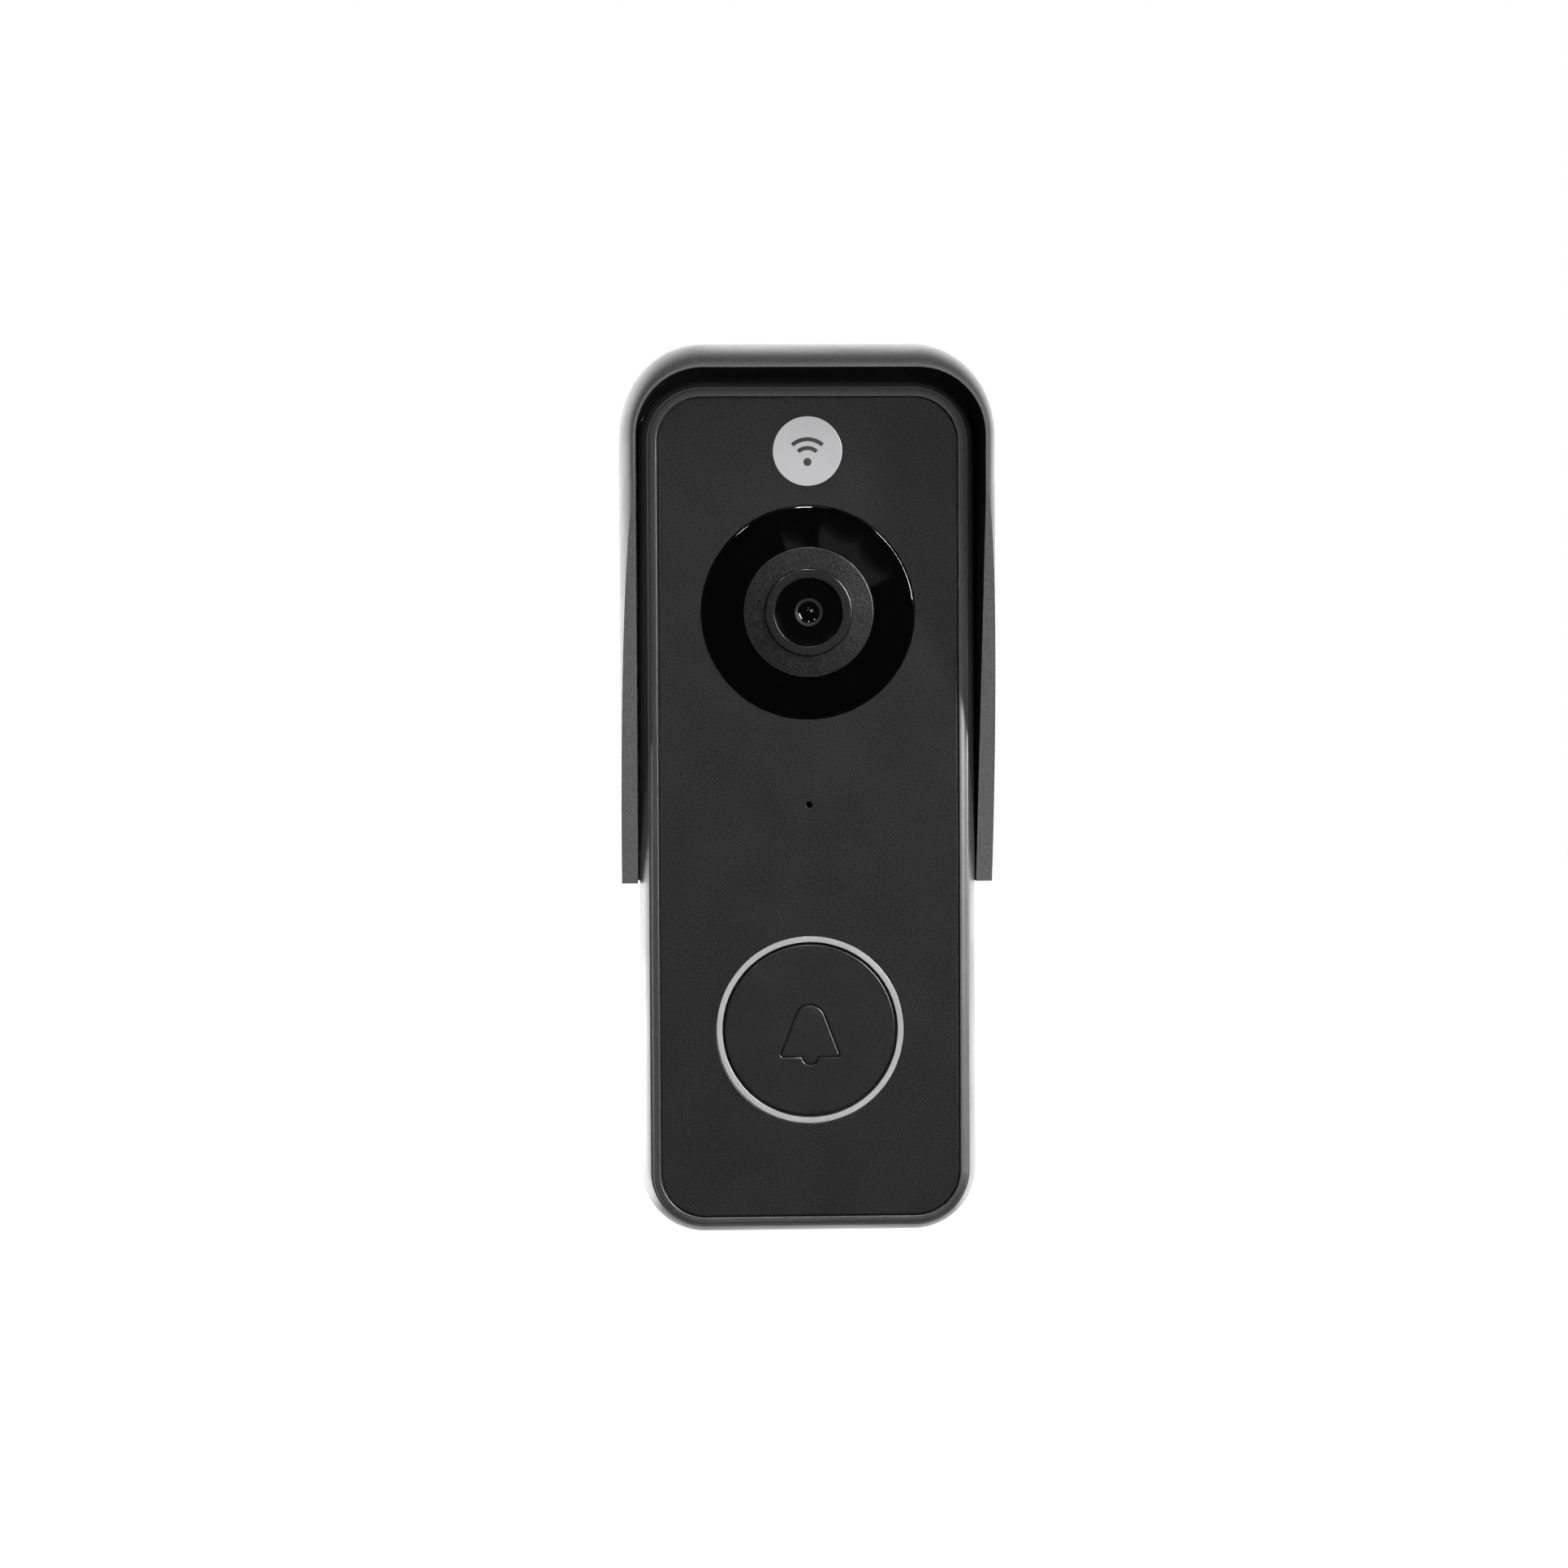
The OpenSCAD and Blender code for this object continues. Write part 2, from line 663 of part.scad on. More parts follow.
// ---------- rear cover ----------
module rear_cover() color(black) from_wall() difference() {
    union() {
        slab(
            body_w - 2 * cover_in, body_h - 2 * cover_in, corner_r - cover_in, cover_back, cover_front
        );
        for (x = [-hook_x, hook_x], y = hook_bottoms)
            hook_pocket(x, y, pocket_wall, cover_front - 0.5, pocket_floor + pocket_wall);
        block(
            lock_pocket[0] + 2.4, lock_pocket[1] + 2.4, cover_front - 0.5,
            lock_pocket_floor + 1, 0, lock_pocket_y
        );
        block(
            terminal_bay[0] + 2.4, terminal_bay[1] + 2.4, cover_front - 0.5,
            terminal_floor + 1, 0, terminal_y
        );
        for (p = concat(main_posts, power_posts)) disc(post_r, cover_front - 0.5, board_back, p[0], p[1]);
    }
    for (x = [-hook_x, hook_x], y = hook_bottoms) hook_pocket(x, y, 0, cover_back - cut, pocket_floor);
    block(lock_pocket[0], lock_pocket[1], cover_back - cut, lock_pocket_floor, 0, lock_pocket_y);
    block(terminal_bay[0], terminal_bay[1], cover_back - cut, terminal_floor, 0, terminal_y);
    for (p = concat(main_posts, power_posts)) disc(board_screw_r + screw_room, 6, board_back + cut, p[0], p[1]);
    for (x = [-terminal_x, terminal_x])
        disc(terminal_shank_r + screw_room, terminal_floor - cut, terminal_floor + 2, x, terminal_y);
    for (x = [-case_x, case_x], y = [-case_y, case_y]) {
        disc(case_screw_r + screw_room, cover_back - cut, cover_front + cut, x, y);
        disc(2.05, cover_back - cut, cover_back + 0.9, x, y);
    }
    disc(2.15, cover_back - cut, cover_front + cut, 0, reset_y);
    translate([0, lock_pocket_y - lock_pocket[1], lock_z]) rotate([-90, 0, 0])
        cylinder(r = lock_r + 0.15, h = lock_pocket[1]);
}

// The space that a hook needs while the body lifts, plus a margin
module hook_pocket(x, y, margin, back, front) {
    low = y - lift - 0.3 - margin;
    slot_top = y + post_h + 0.15;
    top = y + post_h + lip_h + 0.3 + margin;
    if (margin == 0) {
        block(hook_w + 0.8, slot_top - low, back, front, x, (low + slot_top) / 2);
        block(hook_w + 0.8, top - low, cover_front, front, x, (low + top) / 2);
    }
    else block(hook_w + 0.8 + 2 * margin, top - low, back, front, x, (low + top) / 2);
}

module rear_seal() color("dimgray") from_wall() around_body()
    translate([cover_in + 0.1, cover_front]) square([1.1, flange_back - cover_front]);

module case_screws() color(steel) from_wall()
    for (x = [-case_x, case_x], y = [-case_y, case_y]) translate([x, y, 0]) {
        disc(case_screw_r, cover_back + 0.9, case_screw_tip);
        difference() {
            disc(1.95, cover_back, cover_back + 0.9);
            block(2.6, 0.5, cover_back - cut, cover_back + 0.45);
            block(0.5, 2.6, cover_back - cut, cover_back + 0.45);
        }
    }

// Enters the bottom of the housing and passes through the bracket's tab
module security_screw() color(steel) from_wall() translate([0, -body_h / 2 + 0.1, lock_z]) rotate([-90, 0, 0]) {
    translate([0, 0, lock_head_h - 0.1]) cylinder(r = lock_r, h = lock_tip_y + body_h / 2 - lock_head_h);
    difference() {
        cylinder(r = lock_head_r, h = lock_head_h - 0.1);
        translate([0, 0, -cut]) cylinder(r = 1.2, h = cut + 0.7, $fn = 6);
    }
}

// ---------- rain hood ----------
// An arch that is open at the bottom
module arch(half_w, top, r) {
    translate([-half_w, hood_foot_y]) square([2 * half_w, top - r - hood_foot_y]);
    translate([-half_w + r, top - 2 * r]) square([2 * (half_w - r), 2 * r]);
    for (side = [-1, 1]) translate([side * (half_w - r), top - r]) circle(r);
}

// Thin slice of the hood's outer shape, an angle along the quarter ellipse that rounds it towards the lip
module hood_slice(angle, back = 0) {
    inner_half = body_w / 2 + hood_gap;
    share = (cos(angle) - cos(hood_round)) / (1 - cos(hood_round));
    reach = (hood_lip_z - hood_round_z) * sin(angle) / sin(hood_round);
    translate([0, 0, hood_round_z + reach - back])
        linear_extrude(0.01)
            arch(
                inner_half + hood_lip_t + (hood_leg_t - hood_lip_t) * share,
                hood_roof_y + hood_lip_t + (hood_roof_t - hood_lip_t) * share,
                10.2 + 1.3 * share
            );
}

module rain_hood() color(black) from_wall() {
    inner_half = body_w / 2 + hood_gap;
    step = hood_round / hood_steps;
    difference() {
        union() {
            translate([0, 0, rear_edge]) linear_extrude(hood_round_z - rear_edge)
                arch(inner_half + hood_leg_t, hood_roof_y + hood_roof_t, 11.5);
            for (i = [0 : hood_steps - 1]) hull() {
                hood_slice(i * step);
                hood_slice((i + 1) * step, 0.01);
            }
        }
        translate([0, 0, -cut]) linear_extrude(hood_lip_z + 2 * cut) {
            translate([-inner_half, hood_foot_y - cut])
                square([2 * inner_half, hood_roof_y - 9.8 - hood_foot_y + cut]);
            translate([-inner_half + 9.8, hood_roof_y - 19.6]) square([2 * (inner_half - 9.8), 19.6]);
            for (side = [-1, 1]) translate([side * (inner_half - 9.8), hood_roof_y - 9.8]) circle(9.8);
        }
        // The legs' front edges slant back towards their feet
        rotate([0, 90, 0]) rotate([0, 0, 90]) linear_extrude(4 * body_w, center = true)
            polygon([
                [hood_foot_y - cut, hood_leg_depth], [hood_foot_y, hood_leg_depth],
                [hood_slant_y, hood_lip_z], [hood_slant_y, hood_lip_z + 5], [hood_foot_y - cut, hood_lip_z + 5]
            ]);
    }
    for (side = [-1, 1])
        block(
            rib_depth + 0.5, rib_top - hood_foot_y, rib_back, rib_front,
            side * (inner_half + 0.5 - (rib_depth + 0.5) / 2), (rib_top + hood_foot_y) / 2
        );
}

wall_plate();
housing_frame();
face_plate();
front_gasket();
badge_disc();
lens_bezel();
lens_shroud();
lens_barrel();
front_glass();
iris_ring();
inner_lens();
rear_lens();
lens_holder();
holder_screws();
image_sensor();
infrared_filter();
infrared_board();
infrared_leds();
main_board();
board_screws();
processor();
thermal_pad();
heat_spreader();
memory_chips();
radio_shield();
radio_antenna();
board_link();
small_parts();
mic_board();
microphone();
mic_boot();
call_button();
light_ring();
ring_gasket();
button_guide();
guide_screws();
button_board();
ring_leds();
switch_body();
switch_dome();
switch_stem();
ribbon_cable();
speaker_frame();
speaker_magnet();
speaker_cone();
speaker_gasket();
speaker_wires();
power_board();
power_inductor();
capacitors();
terminal_plates();
terminal_screws();
reset_switch();
reset_button();
rear_cover();
rear_seal();
case_screws();
security_screw();
rain_hood();
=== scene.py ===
import math

import bmesh
import bpy
from mathutils import Matrix, Quaternion, Vector

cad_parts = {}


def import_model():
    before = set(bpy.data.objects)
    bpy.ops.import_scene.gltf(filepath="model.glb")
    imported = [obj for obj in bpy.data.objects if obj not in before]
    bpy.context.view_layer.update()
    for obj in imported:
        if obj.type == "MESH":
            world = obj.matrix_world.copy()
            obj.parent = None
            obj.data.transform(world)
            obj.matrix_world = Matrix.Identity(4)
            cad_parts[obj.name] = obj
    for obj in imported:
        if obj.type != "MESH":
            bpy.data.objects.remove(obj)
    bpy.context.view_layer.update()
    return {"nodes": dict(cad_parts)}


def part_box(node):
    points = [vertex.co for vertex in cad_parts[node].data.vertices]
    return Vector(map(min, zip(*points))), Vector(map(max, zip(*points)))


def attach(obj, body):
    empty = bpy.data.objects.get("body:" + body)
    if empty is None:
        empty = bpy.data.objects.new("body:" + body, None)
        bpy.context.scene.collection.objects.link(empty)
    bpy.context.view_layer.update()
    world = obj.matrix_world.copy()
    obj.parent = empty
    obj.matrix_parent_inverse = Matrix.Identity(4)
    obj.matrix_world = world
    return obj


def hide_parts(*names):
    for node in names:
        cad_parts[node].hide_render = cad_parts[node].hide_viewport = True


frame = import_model()

MM = 0.001

# ---------- driving dimensions, in millimetres and degrees ----------
# Camera: its distance from the point it aims at on the face, its angle, and the width in view there
CAMERA_DISTANCE = 550.0
CAMERA_AZIMUTH = -2.4
CAMERA_ELEVATION = 2.0
CAMERA_ROLL = -0.30
FRAME_WIDTH = 231.84
AIM_X = -3.7
AIM_Z = 3.57
SENSOR_WIDTH = 36.0

# Segments on a rounded edge, on large and small circles, and on a quarter of a corner
ARC_STEPS = 5
ROUND_STEPS = 144
SMALL_ROUND_STEPS = 96
CORNER_STEPS = 28

# Angles above which an edge stays sharp
SHARP_ANGLE = 35.0
PLATE_SHARP_ANGLE = 50.0
HOOD_SHARP_ANGLE = 25.0

# Points closer than this are welded, and a cutter reaches this far past what it cuts
WELD = 0.0005
CUT = 1.0

# Housing: insets are from its sides, the rest are distances from the wall and thicknesses
WALL = 2.0
REAR_EDGE = 0.3
REAR_CHAMFER = 0.5
REAR_CHAMFER_IN = 0.12
RIM_WIDTH = 1.24
BAND_INSET = 1.48
BAND_DEPTH = 4.6
BAND_BOW = 0.6
BAND_STEPS = 12
RIM_DROP = 0.6
RIM_TILT_IN = 14.0
RIM_CROWN_R = 3.0
RIM_OUTER_R = 0.3
RIM_INNER_R = 0.12
RIM_ARC_STEPS = 8
LEDGE_IN = 5.0
LEDGE_GAP = 0.5
LEDGE_T = 1.5
FLANGE_IN = 3.8
FLANGE_BACK, FLANGE_FRONT = 4.8, 6.3
CORNER_R = 9.4

# In the housing's bottom: the speaker's slots, and the seat and hole of the security screw
SLOT_PITCH = 3.6
SLOT_HALF_W = 0.65
SLOT_BACK, SLOT_FRONT = 14.0, 20.4
SCREW_SEAT_R = 2.45
SCREW_SEAT_DEPTH = 1.2
SCREW_HOLE_R = 1.3
SCREW_HOLE_DEPTH = 5.0

# Face plate, with the room round what sits in its holes
PLATE_T = 1.8
PLATE_EDGE_R = 0.1
BEZEL_ROOM = 0.1
RING_ROOM = 0.06
BADGE_ROOM = 0.05
MIC_R = 0.45
MIC_STEPS = 32

# Badge, and the sign on it: a dot under two arcs
BADGE_EDGE_R = 0.12
SIGN_DROP = 1.6
SIGN_RADII = (1.75, 3.05)
SIGN_STROKE = 0.6
SIGN_START, SIGN_END = 48, 132
SIGN_STEPS = 24
SIGN_SINK = 0.05
SIGN_RISE = 0.01
DOT_R = 0.6
DOT_STEPS = 32

# Rain hood
HOOD_GAP = 0.35
HOOD_LEG_T = 2.4
HOOD_ROOF_T = 4.4
HOOD_LIP_T = 0.4
HOOD_CORNER_R = 9.8
HOOD_LEG_DEPTH = 20.5
HOOD_ROUND_START = 22.0
HOOD_SLANT_Z = 45.6
HOOD_REAR = 0.3
HOOD_ROUND = 78.0
HOOD_LEG_STEPS = 26
HOOD_BACK_STEPS = 6
HOOD_ROUND_STEPS = 36
HOOD_EDGE_R = 0.15
HOOD_EDGE_ANGLE = 40.0
HOOD_EDGE_STEPS = 3
# Slope past which a hood face counts as facing the body, or facing down under the roof, and takes the
# painted shade
HOOD_SHADE_SLOPE = 0.3

# The hood's ribs, and the grooves in the housing that they run in
RIB_BACK, RIB_FRONT = 11.0, 13.0
RIB_DEPTH = 1.15
RIB_ROOT = 0.5
RIB_FOOT = 0.02
RIB_ABOVE_CORNER = 4.0
GROOVE_DEPTH = 0.95
GROOVE_ROOM = 0.15
GROOVE_FOOT = 0.4

# Camera parts: bezel, shroud, barrel and front glass
BEZEL_BACK = 1.2
BEZEL_RISE = 0.42
BEZEL_EDGE_R = 0.36
BEZEL_INNER_R = 0.1
BEZEL_STEPS = 8
BEZEL_GAP = 0.08
SHROUD_SLOPE = 0.3
SHROUD_EDGE_R = 0.15
SHROUD_INNER_R = 0.05
SHROUD_GAP = 0.07
BARREL_BORE_R = 3.5
BARREL_BACK_R = 5.9
BARREL_STEP = 21.5
BARREL_EDGE_R = 0.2
BARREL_CHAMFER = 0.12
BARREL_CHAMFER_R = 0.05
GLASS_SEAT = 25.0
GLASS_R = 4.95
GLASS_GAP = 0.05
GLASS_DOME = 1.1
GLASS_STEPS = 24

# The opening in the middle of the front glass, and the small element in it
OPENING_R = 2.05
OPENING_STEP_1, OPENING_STEP_2, OPENING_STEP_3 = 0.28, 0.6, 0.78
OPENING_DEPTH_1, OPENING_DEPTH_2 = 0.14, 0.24
OPENING_FLOOR = 0.3
OPENING_EDGE_R = 0.15
OPENING_STEP_R = 0.05
OPENING_ARC_STEPS = 3
ELEMENT_R = 0.75
ELEMENT_SINK = 0.6
ELEMENT_CURVE = 1.17
ELEMENT_START = 31
ELEMENT_STEPS = 12

# Light ring
RING_IN_R, RING_OUT_R = 13.0, 13.9
RING_FOOT_T = 1.0
RING_EDGE_R = 0.14

# Call button: its face, base, skirt and plunger
CAP_T = 2.1
CAP_FACE_OVERLAP = 0.2
CAP_BASE_OVERLAP = 0.1
CAP_BASE_IN = 0.02
SKIRT_IN_R, SKIRT_R, SNAP_R = 10.0, 11.0, 11.9
SNAP_H = 0.8
PLUNGER_R = 1.8
PLUNGER_BACK = 22.5
PLUNGER_STEPS = 48

# The bell engraved in it, measured from the button's centre to the middle of the groove
BELL_ARC_R = 2.3
BELL_ARC_Z = 1.35
BELL_FOOT_X = 4.5
BELL_FOOT_Z = -4.06
BELL_CLAPPER_R = 1.15
BELL_CORNER_R = 0.35
BELL_GROOVE = 0.1
BELL_GROOVE_DEPTH = 0.5
BELL_EDGE_R = 0.24
BELL_TOP_STEPS = 24
BELL_CLAPPER_STEPS = 16

# Floor
FLOOR_DROP = 120.0
FLOOR_SIZE = 6000.0
FLOOR_GLOW = 0.8


# ---------- places taken from the frame ----------
def span(node):
    """Lowest and highest corner of a CAD node, in millimetres."""
    low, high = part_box(node)
    return low / MM, high / MM


def centre(node):
    low, high = span(node)
    return (low + high) / 2


def radius(node):
    low, high = span(node)
    return (high.x - low.x) / 2


def front_of(node):
    """Distance from the wall of a node's front."""
    return -span(node)[0].y


def back_of(node):
    """Distance from the wall of a node's back."""
    return -span(node)[1].y


HOUSING_LOW, HOUSING_HIGH = span("housing_frame")
PLATE_LOW, PLATE_HIGH = span("face_plate")
HOOD_LOW, HOOD_HIGH = span("rain_hood")
BODY_W = HOUSING_HIGH.x - HOUSING_LOW.x
BODY_H = HOUSING_HIGH.z - HOUSING_LOW.z
BODY_DEPTH = front_of("housing_frame")
PLATE_W = PLATE_HIGH.x - PLATE_LOW.x
PLATE_H = PLATE_HIGH.z - PLATE_LOW.z
PLATE_R = CORNER_R - (BODY_W - PLATE_W) / 2
FACE = front_of("face_plate")
LENS_Z = centre("lens_bezel").z
BUTTON_Z = centre("call_button").z
BADGE_Z = centre("badge_disc").z
MIC_Z = centre("mic_boot").z
HOOD_LIP = front_of("rain_hood")


# ---------- outlines ----------
def arc(cx, cy, r, start, end, steps):
    """Points on an arc, angles in degrees."""
    return [
        (
            cx + r * math.cos(math.radians(start + (end - start) * i / steps)),
            cy + r * math.sin(math.radians(start + (end - start) * i / steps)),
        )
        for i in range(steps + 1)
    ]


def rounded_loop(corners, steps=ARC_STEPS):
    """A closed outline from (x, y, radius) corners: each corner with a radius becomes an arc."""
    points = []
    for i, (x, y, r) in enumerate(corners):
        here = Vector((x, y))
        if r <= 0:
            points.append((x, y))
            continue
        before = Vector(corners[i - 1][:2])
        after = Vector(corners[(i + 1) % len(corners)][:2])
        a = (before - here).normalized()
        b = (after - here).normalized()
        half = a.angle(b) / 2
        reach = min(r / math.tan(half), (before - here).length * 0.49, (after - here).length * 0.49)
        true_r = reach * math.tan(half)
        middle = here + (a + b).normalized() * (true_r / math.sin(half))
        first = here + a * reach - middle
        last = here + b * reach - middle
        turn = first.angle_signed(last)
        for k in range(steps + 1):
            angle = -turn * k / steps
            points.append(tuple(middle + Vector((
                first.x * math.cos(angle) - first.y * math.sin(angle),
                first.x * math.sin(angle) + first.y * math.cos(angle),
            ))))
    return points


def rounded_rectangle(w, h, r):
    """Stations round a rounded rectangle: a point and its outward normal."""
    stations = []
    for quarter, (sx, sz) in enumerate(((1, 1), (-1, 1), (-1, -1), (1, -1))):
        cx, cz = sx * (w / 2 - r), sz * (h / 2 - r)
        for i in range(CORNER_STEPS + 1):
            a = math.radians(90 * (quarter + i / CORNER_STEPS))
            normal = (math.cos(a), math.sin(a))
            stations.append(((cx + r * normal[0], cz + r * normal[1]), normal))
    return stations


def circle(r, steps=ROUND_STEPS, cy=0.0):
    return arc(0, cy, r, 0, 360, steps)[:-1]


def bell_outline(margin):
    """The call button's bell, grown by a margin: round top, straight sides, foot and clapper."""
    r = BELL_ARC_R + margin
    foot = BELL_FOOT_Z - margin
    drop = BELL_FOOT_Z - BELL_ARC_Z
    lean = math.acos(BELL_ARC_R / math.hypot(BELL_FOOT_X, drop)) - math.atan2(-drop, BELL_FOOT_X)
    foot_x = (r - math.sin(lean) * (foot - BELL_ARC_Z)) / math.cos(lean)
    clapper_r = BELL_CLAPPER_R + margin
    dip = math.degrees(math.asin(margin / clapper_r))
    corner_r = BELL_CORNER_R + margin
    right = rounded_loop([(clapper_r, foot, 0), (foot_x, foot, corner_r), (r, BELL_ARC_Z, 0)])[1:-1]
    left = [(-x, z) for x, z in reversed(right)]
    clapper = arc(0, BELL_FOOT_Z, clapper_r, 180 + dip, 360 - dip, BELL_CLAPPER_STEPS)
    side = math.degrees(lean)
    top = arc(0, BELL_ARC_Z, r, side, 180 - side, BELL_TOP_STEPS)
    return clapper + right + top + left


# ---------- meshes ----------
def new_object(name, verts, faces, sharp_angle=SHARP_ANGLE):
    """A smooth-shaded mesh object from points in millimetres, as (x, distance from the wall, z)."""
    mesh = bpy.data.meshes.new(name)
    mesh.from_pydata([(x * MM, -out * MM, z * MM) for x, out, z in verts], [], faces)
    tidy(mesh, sharp_angle)
    thing = bpy.data.objects.new(name, mesh)
    bpy.context.scene.collection.objects.link(thing)
    return thing


def tidy(mesh, sharp_angle):
    """Welds doubles, turns the faces outwards, and shades smooth except across sharp edges."""
    bm = bmesh.new()
    bm.from_mesh(mesh)
    bmesh.ops.remove_doubles(bm, verts=bm.verts, dist=WELD * MM)
    bmesh.ops.dissolve_degenerate(bm, edges=bm.edges, dist=WELD * MM)
    bmesh.ops.recalc_face_normals(bm, faces=bm.faces)
    for face in bm.faces:
        face.smooth = True
    for edge in bm.edges:
        edge.smooth = not (
            len(edge.link_faces) == 2 and edge.calc_face_angle() > math.radians(sharp_angle)
        )
    bm.to_mesh(mesh)
    bm.free()


def lathe(name, profile, z, steps=ROUND_STEPS):
    """A solid of revolution about the line through (0, z) that points out of the wall.
    The profile is a closed loop of (radius, distance from the wall)."""
    verts = []
    for i in range(steps):
        a = 2 * math.pi * i / steps
        verts += [(r * math.cos(a), out, z + r * math.sin(a)) for r, out in profile]
    n = len(profile)
    faces = []
    for i in range(steps):
        j = (i + 1) % steps
        for k in range(n):
            m = (k + 1) % n
            if profile[k][0] < 1e-6 and profile[m][0] < 1e-6:
                continue
            faces.append((i * n + k, i * n + m, j * n + m, j * n + k))
    return new_object(name, verts, faces)


def sweep(name, profile, stations):
    """Carries a closed profile of (inset, distance from the wall) round closed stations."""
    verts = []
    for (x, z), (nx, nz) in stations:
        verts += [(x - inset * nx, out, z - inset * nz) for inset, out in profile]
    n, count = len(profile), len(stations)
    faces = [
        (i * n + k, i * n + (k + 1) % n, (i + 1) % count * n + (k + 1) % n, (i + 1) % count * n + k)
        for i in range(count)
        for k in range(n)
    ]
    return new_object(name, verts, faces)


def cut_plate(name, outlines, back, front, edge_r, z=0.0):
    """A flat plate from nested outlines, filled between them, with rounded edges."""
    curve = bpy.data.curves.new(name, "CURVE")
    curve.dimensions = "2D"
    curve.fill_mode = "BOTH"
    for outline in outlines:
        spline = curve.splines.new("POLY")
        spline.points.add(len(outline) - 1)
        for point, (x, y) in zip(spline.points, outline):
            point.co = (x * MM, y * MM, 0, 1)
        spline.use_cyclic_u = True
    curve.extrude = ((front - back) / 2 - edge_r) * MM
    curve.bevel_depth = edge_r * MM
    curve.bevel_resolution = 3
    curve.offset = -edge_r * MM
    made = bpy.data.objects.new(name, curve)
    bpy.context.scene.collection.objects.link(made)
    bpy.context.view_layer.update()
    mesh = bpy.data.meshes.new_from_object(made.evaluated_get(bpy.context.evaluated_depsgraph_get()))
    bpy.data.objects.remove(made)
    verts = [
        (v.co.x / MM, (front + back) / 2 + v.co.z / MM, z + v.co.y / MM)
        for v in mesh.vertices
    ]
    faces = [tuple(p.vertices) for p in mesh.polygons]
    bpy.data.meshes.remove(mesh)
    return new_object(name, verts, faces, PLATE_SHARP_ANGLE)


def even_out(thing):
    """Lets the large faces set the shading, so that flat faces look flat up to their rounded edges."""
    even = thing.modifiers.new("even", "WEIGHTED_NORMAL")
    even.mode = "FACE_AREA"
    even.weight = 50
    even.keep_sharp = True


def joined(name, parts):
    """One object from several."""
    bm = bmesh.new()
    for part in parts:
        bm.from_mesh(part.data)
    mesh = bpy.data.meshes.new(name)
    bm.to_mesh(mesh)
    bm.free()
    for part in parts:
        bpy.data.objects.remove(part)
    thing = bpy.data.objects.new(name, mesh)
    bpy.context.scene.collection.objects.link(thing)
    return thing


def block(name, low, high):
    """A box between two corners given as (x, distance from the wall, z)."""
    (x0, o0, z0), (x1, o1, z1) = low, high
    verts = [(x, o, z) for x in (x0, x1) for o in (o0, o1) for z in (z0, z1)]
    faces = [(0, 1, 3, 2), (4, 6, 7, 5), (0, 4, 5, 1), (2, 3, 7, 6), (0, 2, 6, 4), (1, 5, 7, 3)]
    return new_object(name, verts, faces)


def carve(thing, cutters):
    """Cuts the cutters out of a thing and removes them."""
    for cutter in cutters:
        cut = thing.modifiers.new("cut", "BOOLEAN")
        cut.operation = "DIFFERENCE"
        cut.solver = "EXACT"
        cut.object = cutter
    bpy.context.view_layer.update()
    solid = thing.evaluated_get(bpy.context.evaluated_depsgraph_get())
    mesh = bpy.data.meshes.new_from_object(solid)
    thing.modifiers.clear()
    thing.data = mesh
    tidy(mesh, SHARP_ANGLE)
    for cutter in cutters:
        bpy.data.objects.remove(cutter)


# ---------- materials ----------
class Shader:
    """A node material with one Principled shader, built step by step."""

    def __init__(self, name, base, roughness, metallic=0.0, **sockets):
        self.material = bpy.data.materials.new(name)
        self.material.use_nodes = True
        self.nodes = self.material.node_tree.nodes
        self.links = self.material.node_tree.links
        self.shader = self.nodes["Principled BSDF"]
        self.shader.inputs["Base Color"].default_value = (*base, 1)
        self.shader.inputs["Roughness"].default_value = roughness
        self.shader.inputs["Metallic"].default_value = metallic
        for socket, value in sockets.items():
            self.shader.inputs[socket.replace("_", " ")].default_value = value
        self.place = self.nodes.new("ShaderNodeTexCoord").outputs["Object"]

    def noise(self, size_mm, detail=3.0, stretch=(1, 1, 1)):
        """Noise whose lumps are about size_mm across."""
        mapping = self.nodes.new("ShaderNodeMapping")
        mapping.inputs["Scale"].default_value = stretch
        self.links.new(self.place, mapping.inputs["Vector"])
        node = self.nodes.new("ShaderNodeTexNoise")
        node.inputs["Scale"].default_value = 1 / (size_mm * MM)
        node.inputs["Detail"].default_value = detail
        self.links.new(mapping.outputs["Vector"], node.inputs["Vector"])
        return node.outputs["Fac"]

    def ramp(self, factor, low, high, dark, light):
        """Maps a factor between two positions to two grey values or colours."""
        node = self.nodes.new("ShaderNodeValToRGB")
        for stop, place, value in zip(node.color_ramp.elements, (low, high), (dark, light)):
            stop.position = place
            stop.color = (*value, 1) if isinstance(value, tuple) else (value, value, value, 1)
        self.links.new(factor, node.inputs["Fac"])
        return node.outputs["Color"]

    def colour(self, output):
        self.links.new(output, self.shader.inputs["Base Color"])

    def roughness(self, output):
        self.links.new(output, self.shader.inputs["Roughness"])

    def bump(self, factor, height_mm):
        node = self.nodes.new("ShaderNodeBump")
        node.inputs["Distance"].default_value = height_mm * MM
        node.inputs["Strength"].default_value = 1.0
        self.links.new(factor, node.inputs["Height"])
        self.links.new(node.outputs["Normal"], self.shader.inputs["Normal"])


def grained_plastic(name, grey, roughness, grain=0.22, depth=0.012, contrast=0.25, specular=0.5):
    """Moulded plastic with a spark-eroded grain: speckled colour, fine bump, slow gloss changes."""
    m = Shader(name, (grey, grey, grey), roughness, Specular_IOR_Level=specular)
    fine = m.noise(grain, 2.0)
    m.colour(m.ramp(fine, 0.35, 0.65, grey * (1 - contrast), grey * (1 + contrast)))
    m.bump(fine, depth)
    m.roughness(m.ramp(m.noise(9.0, 4.0), 0.3, 0.7, roughness - 0.03, roughness + 0.03))
    return m.material


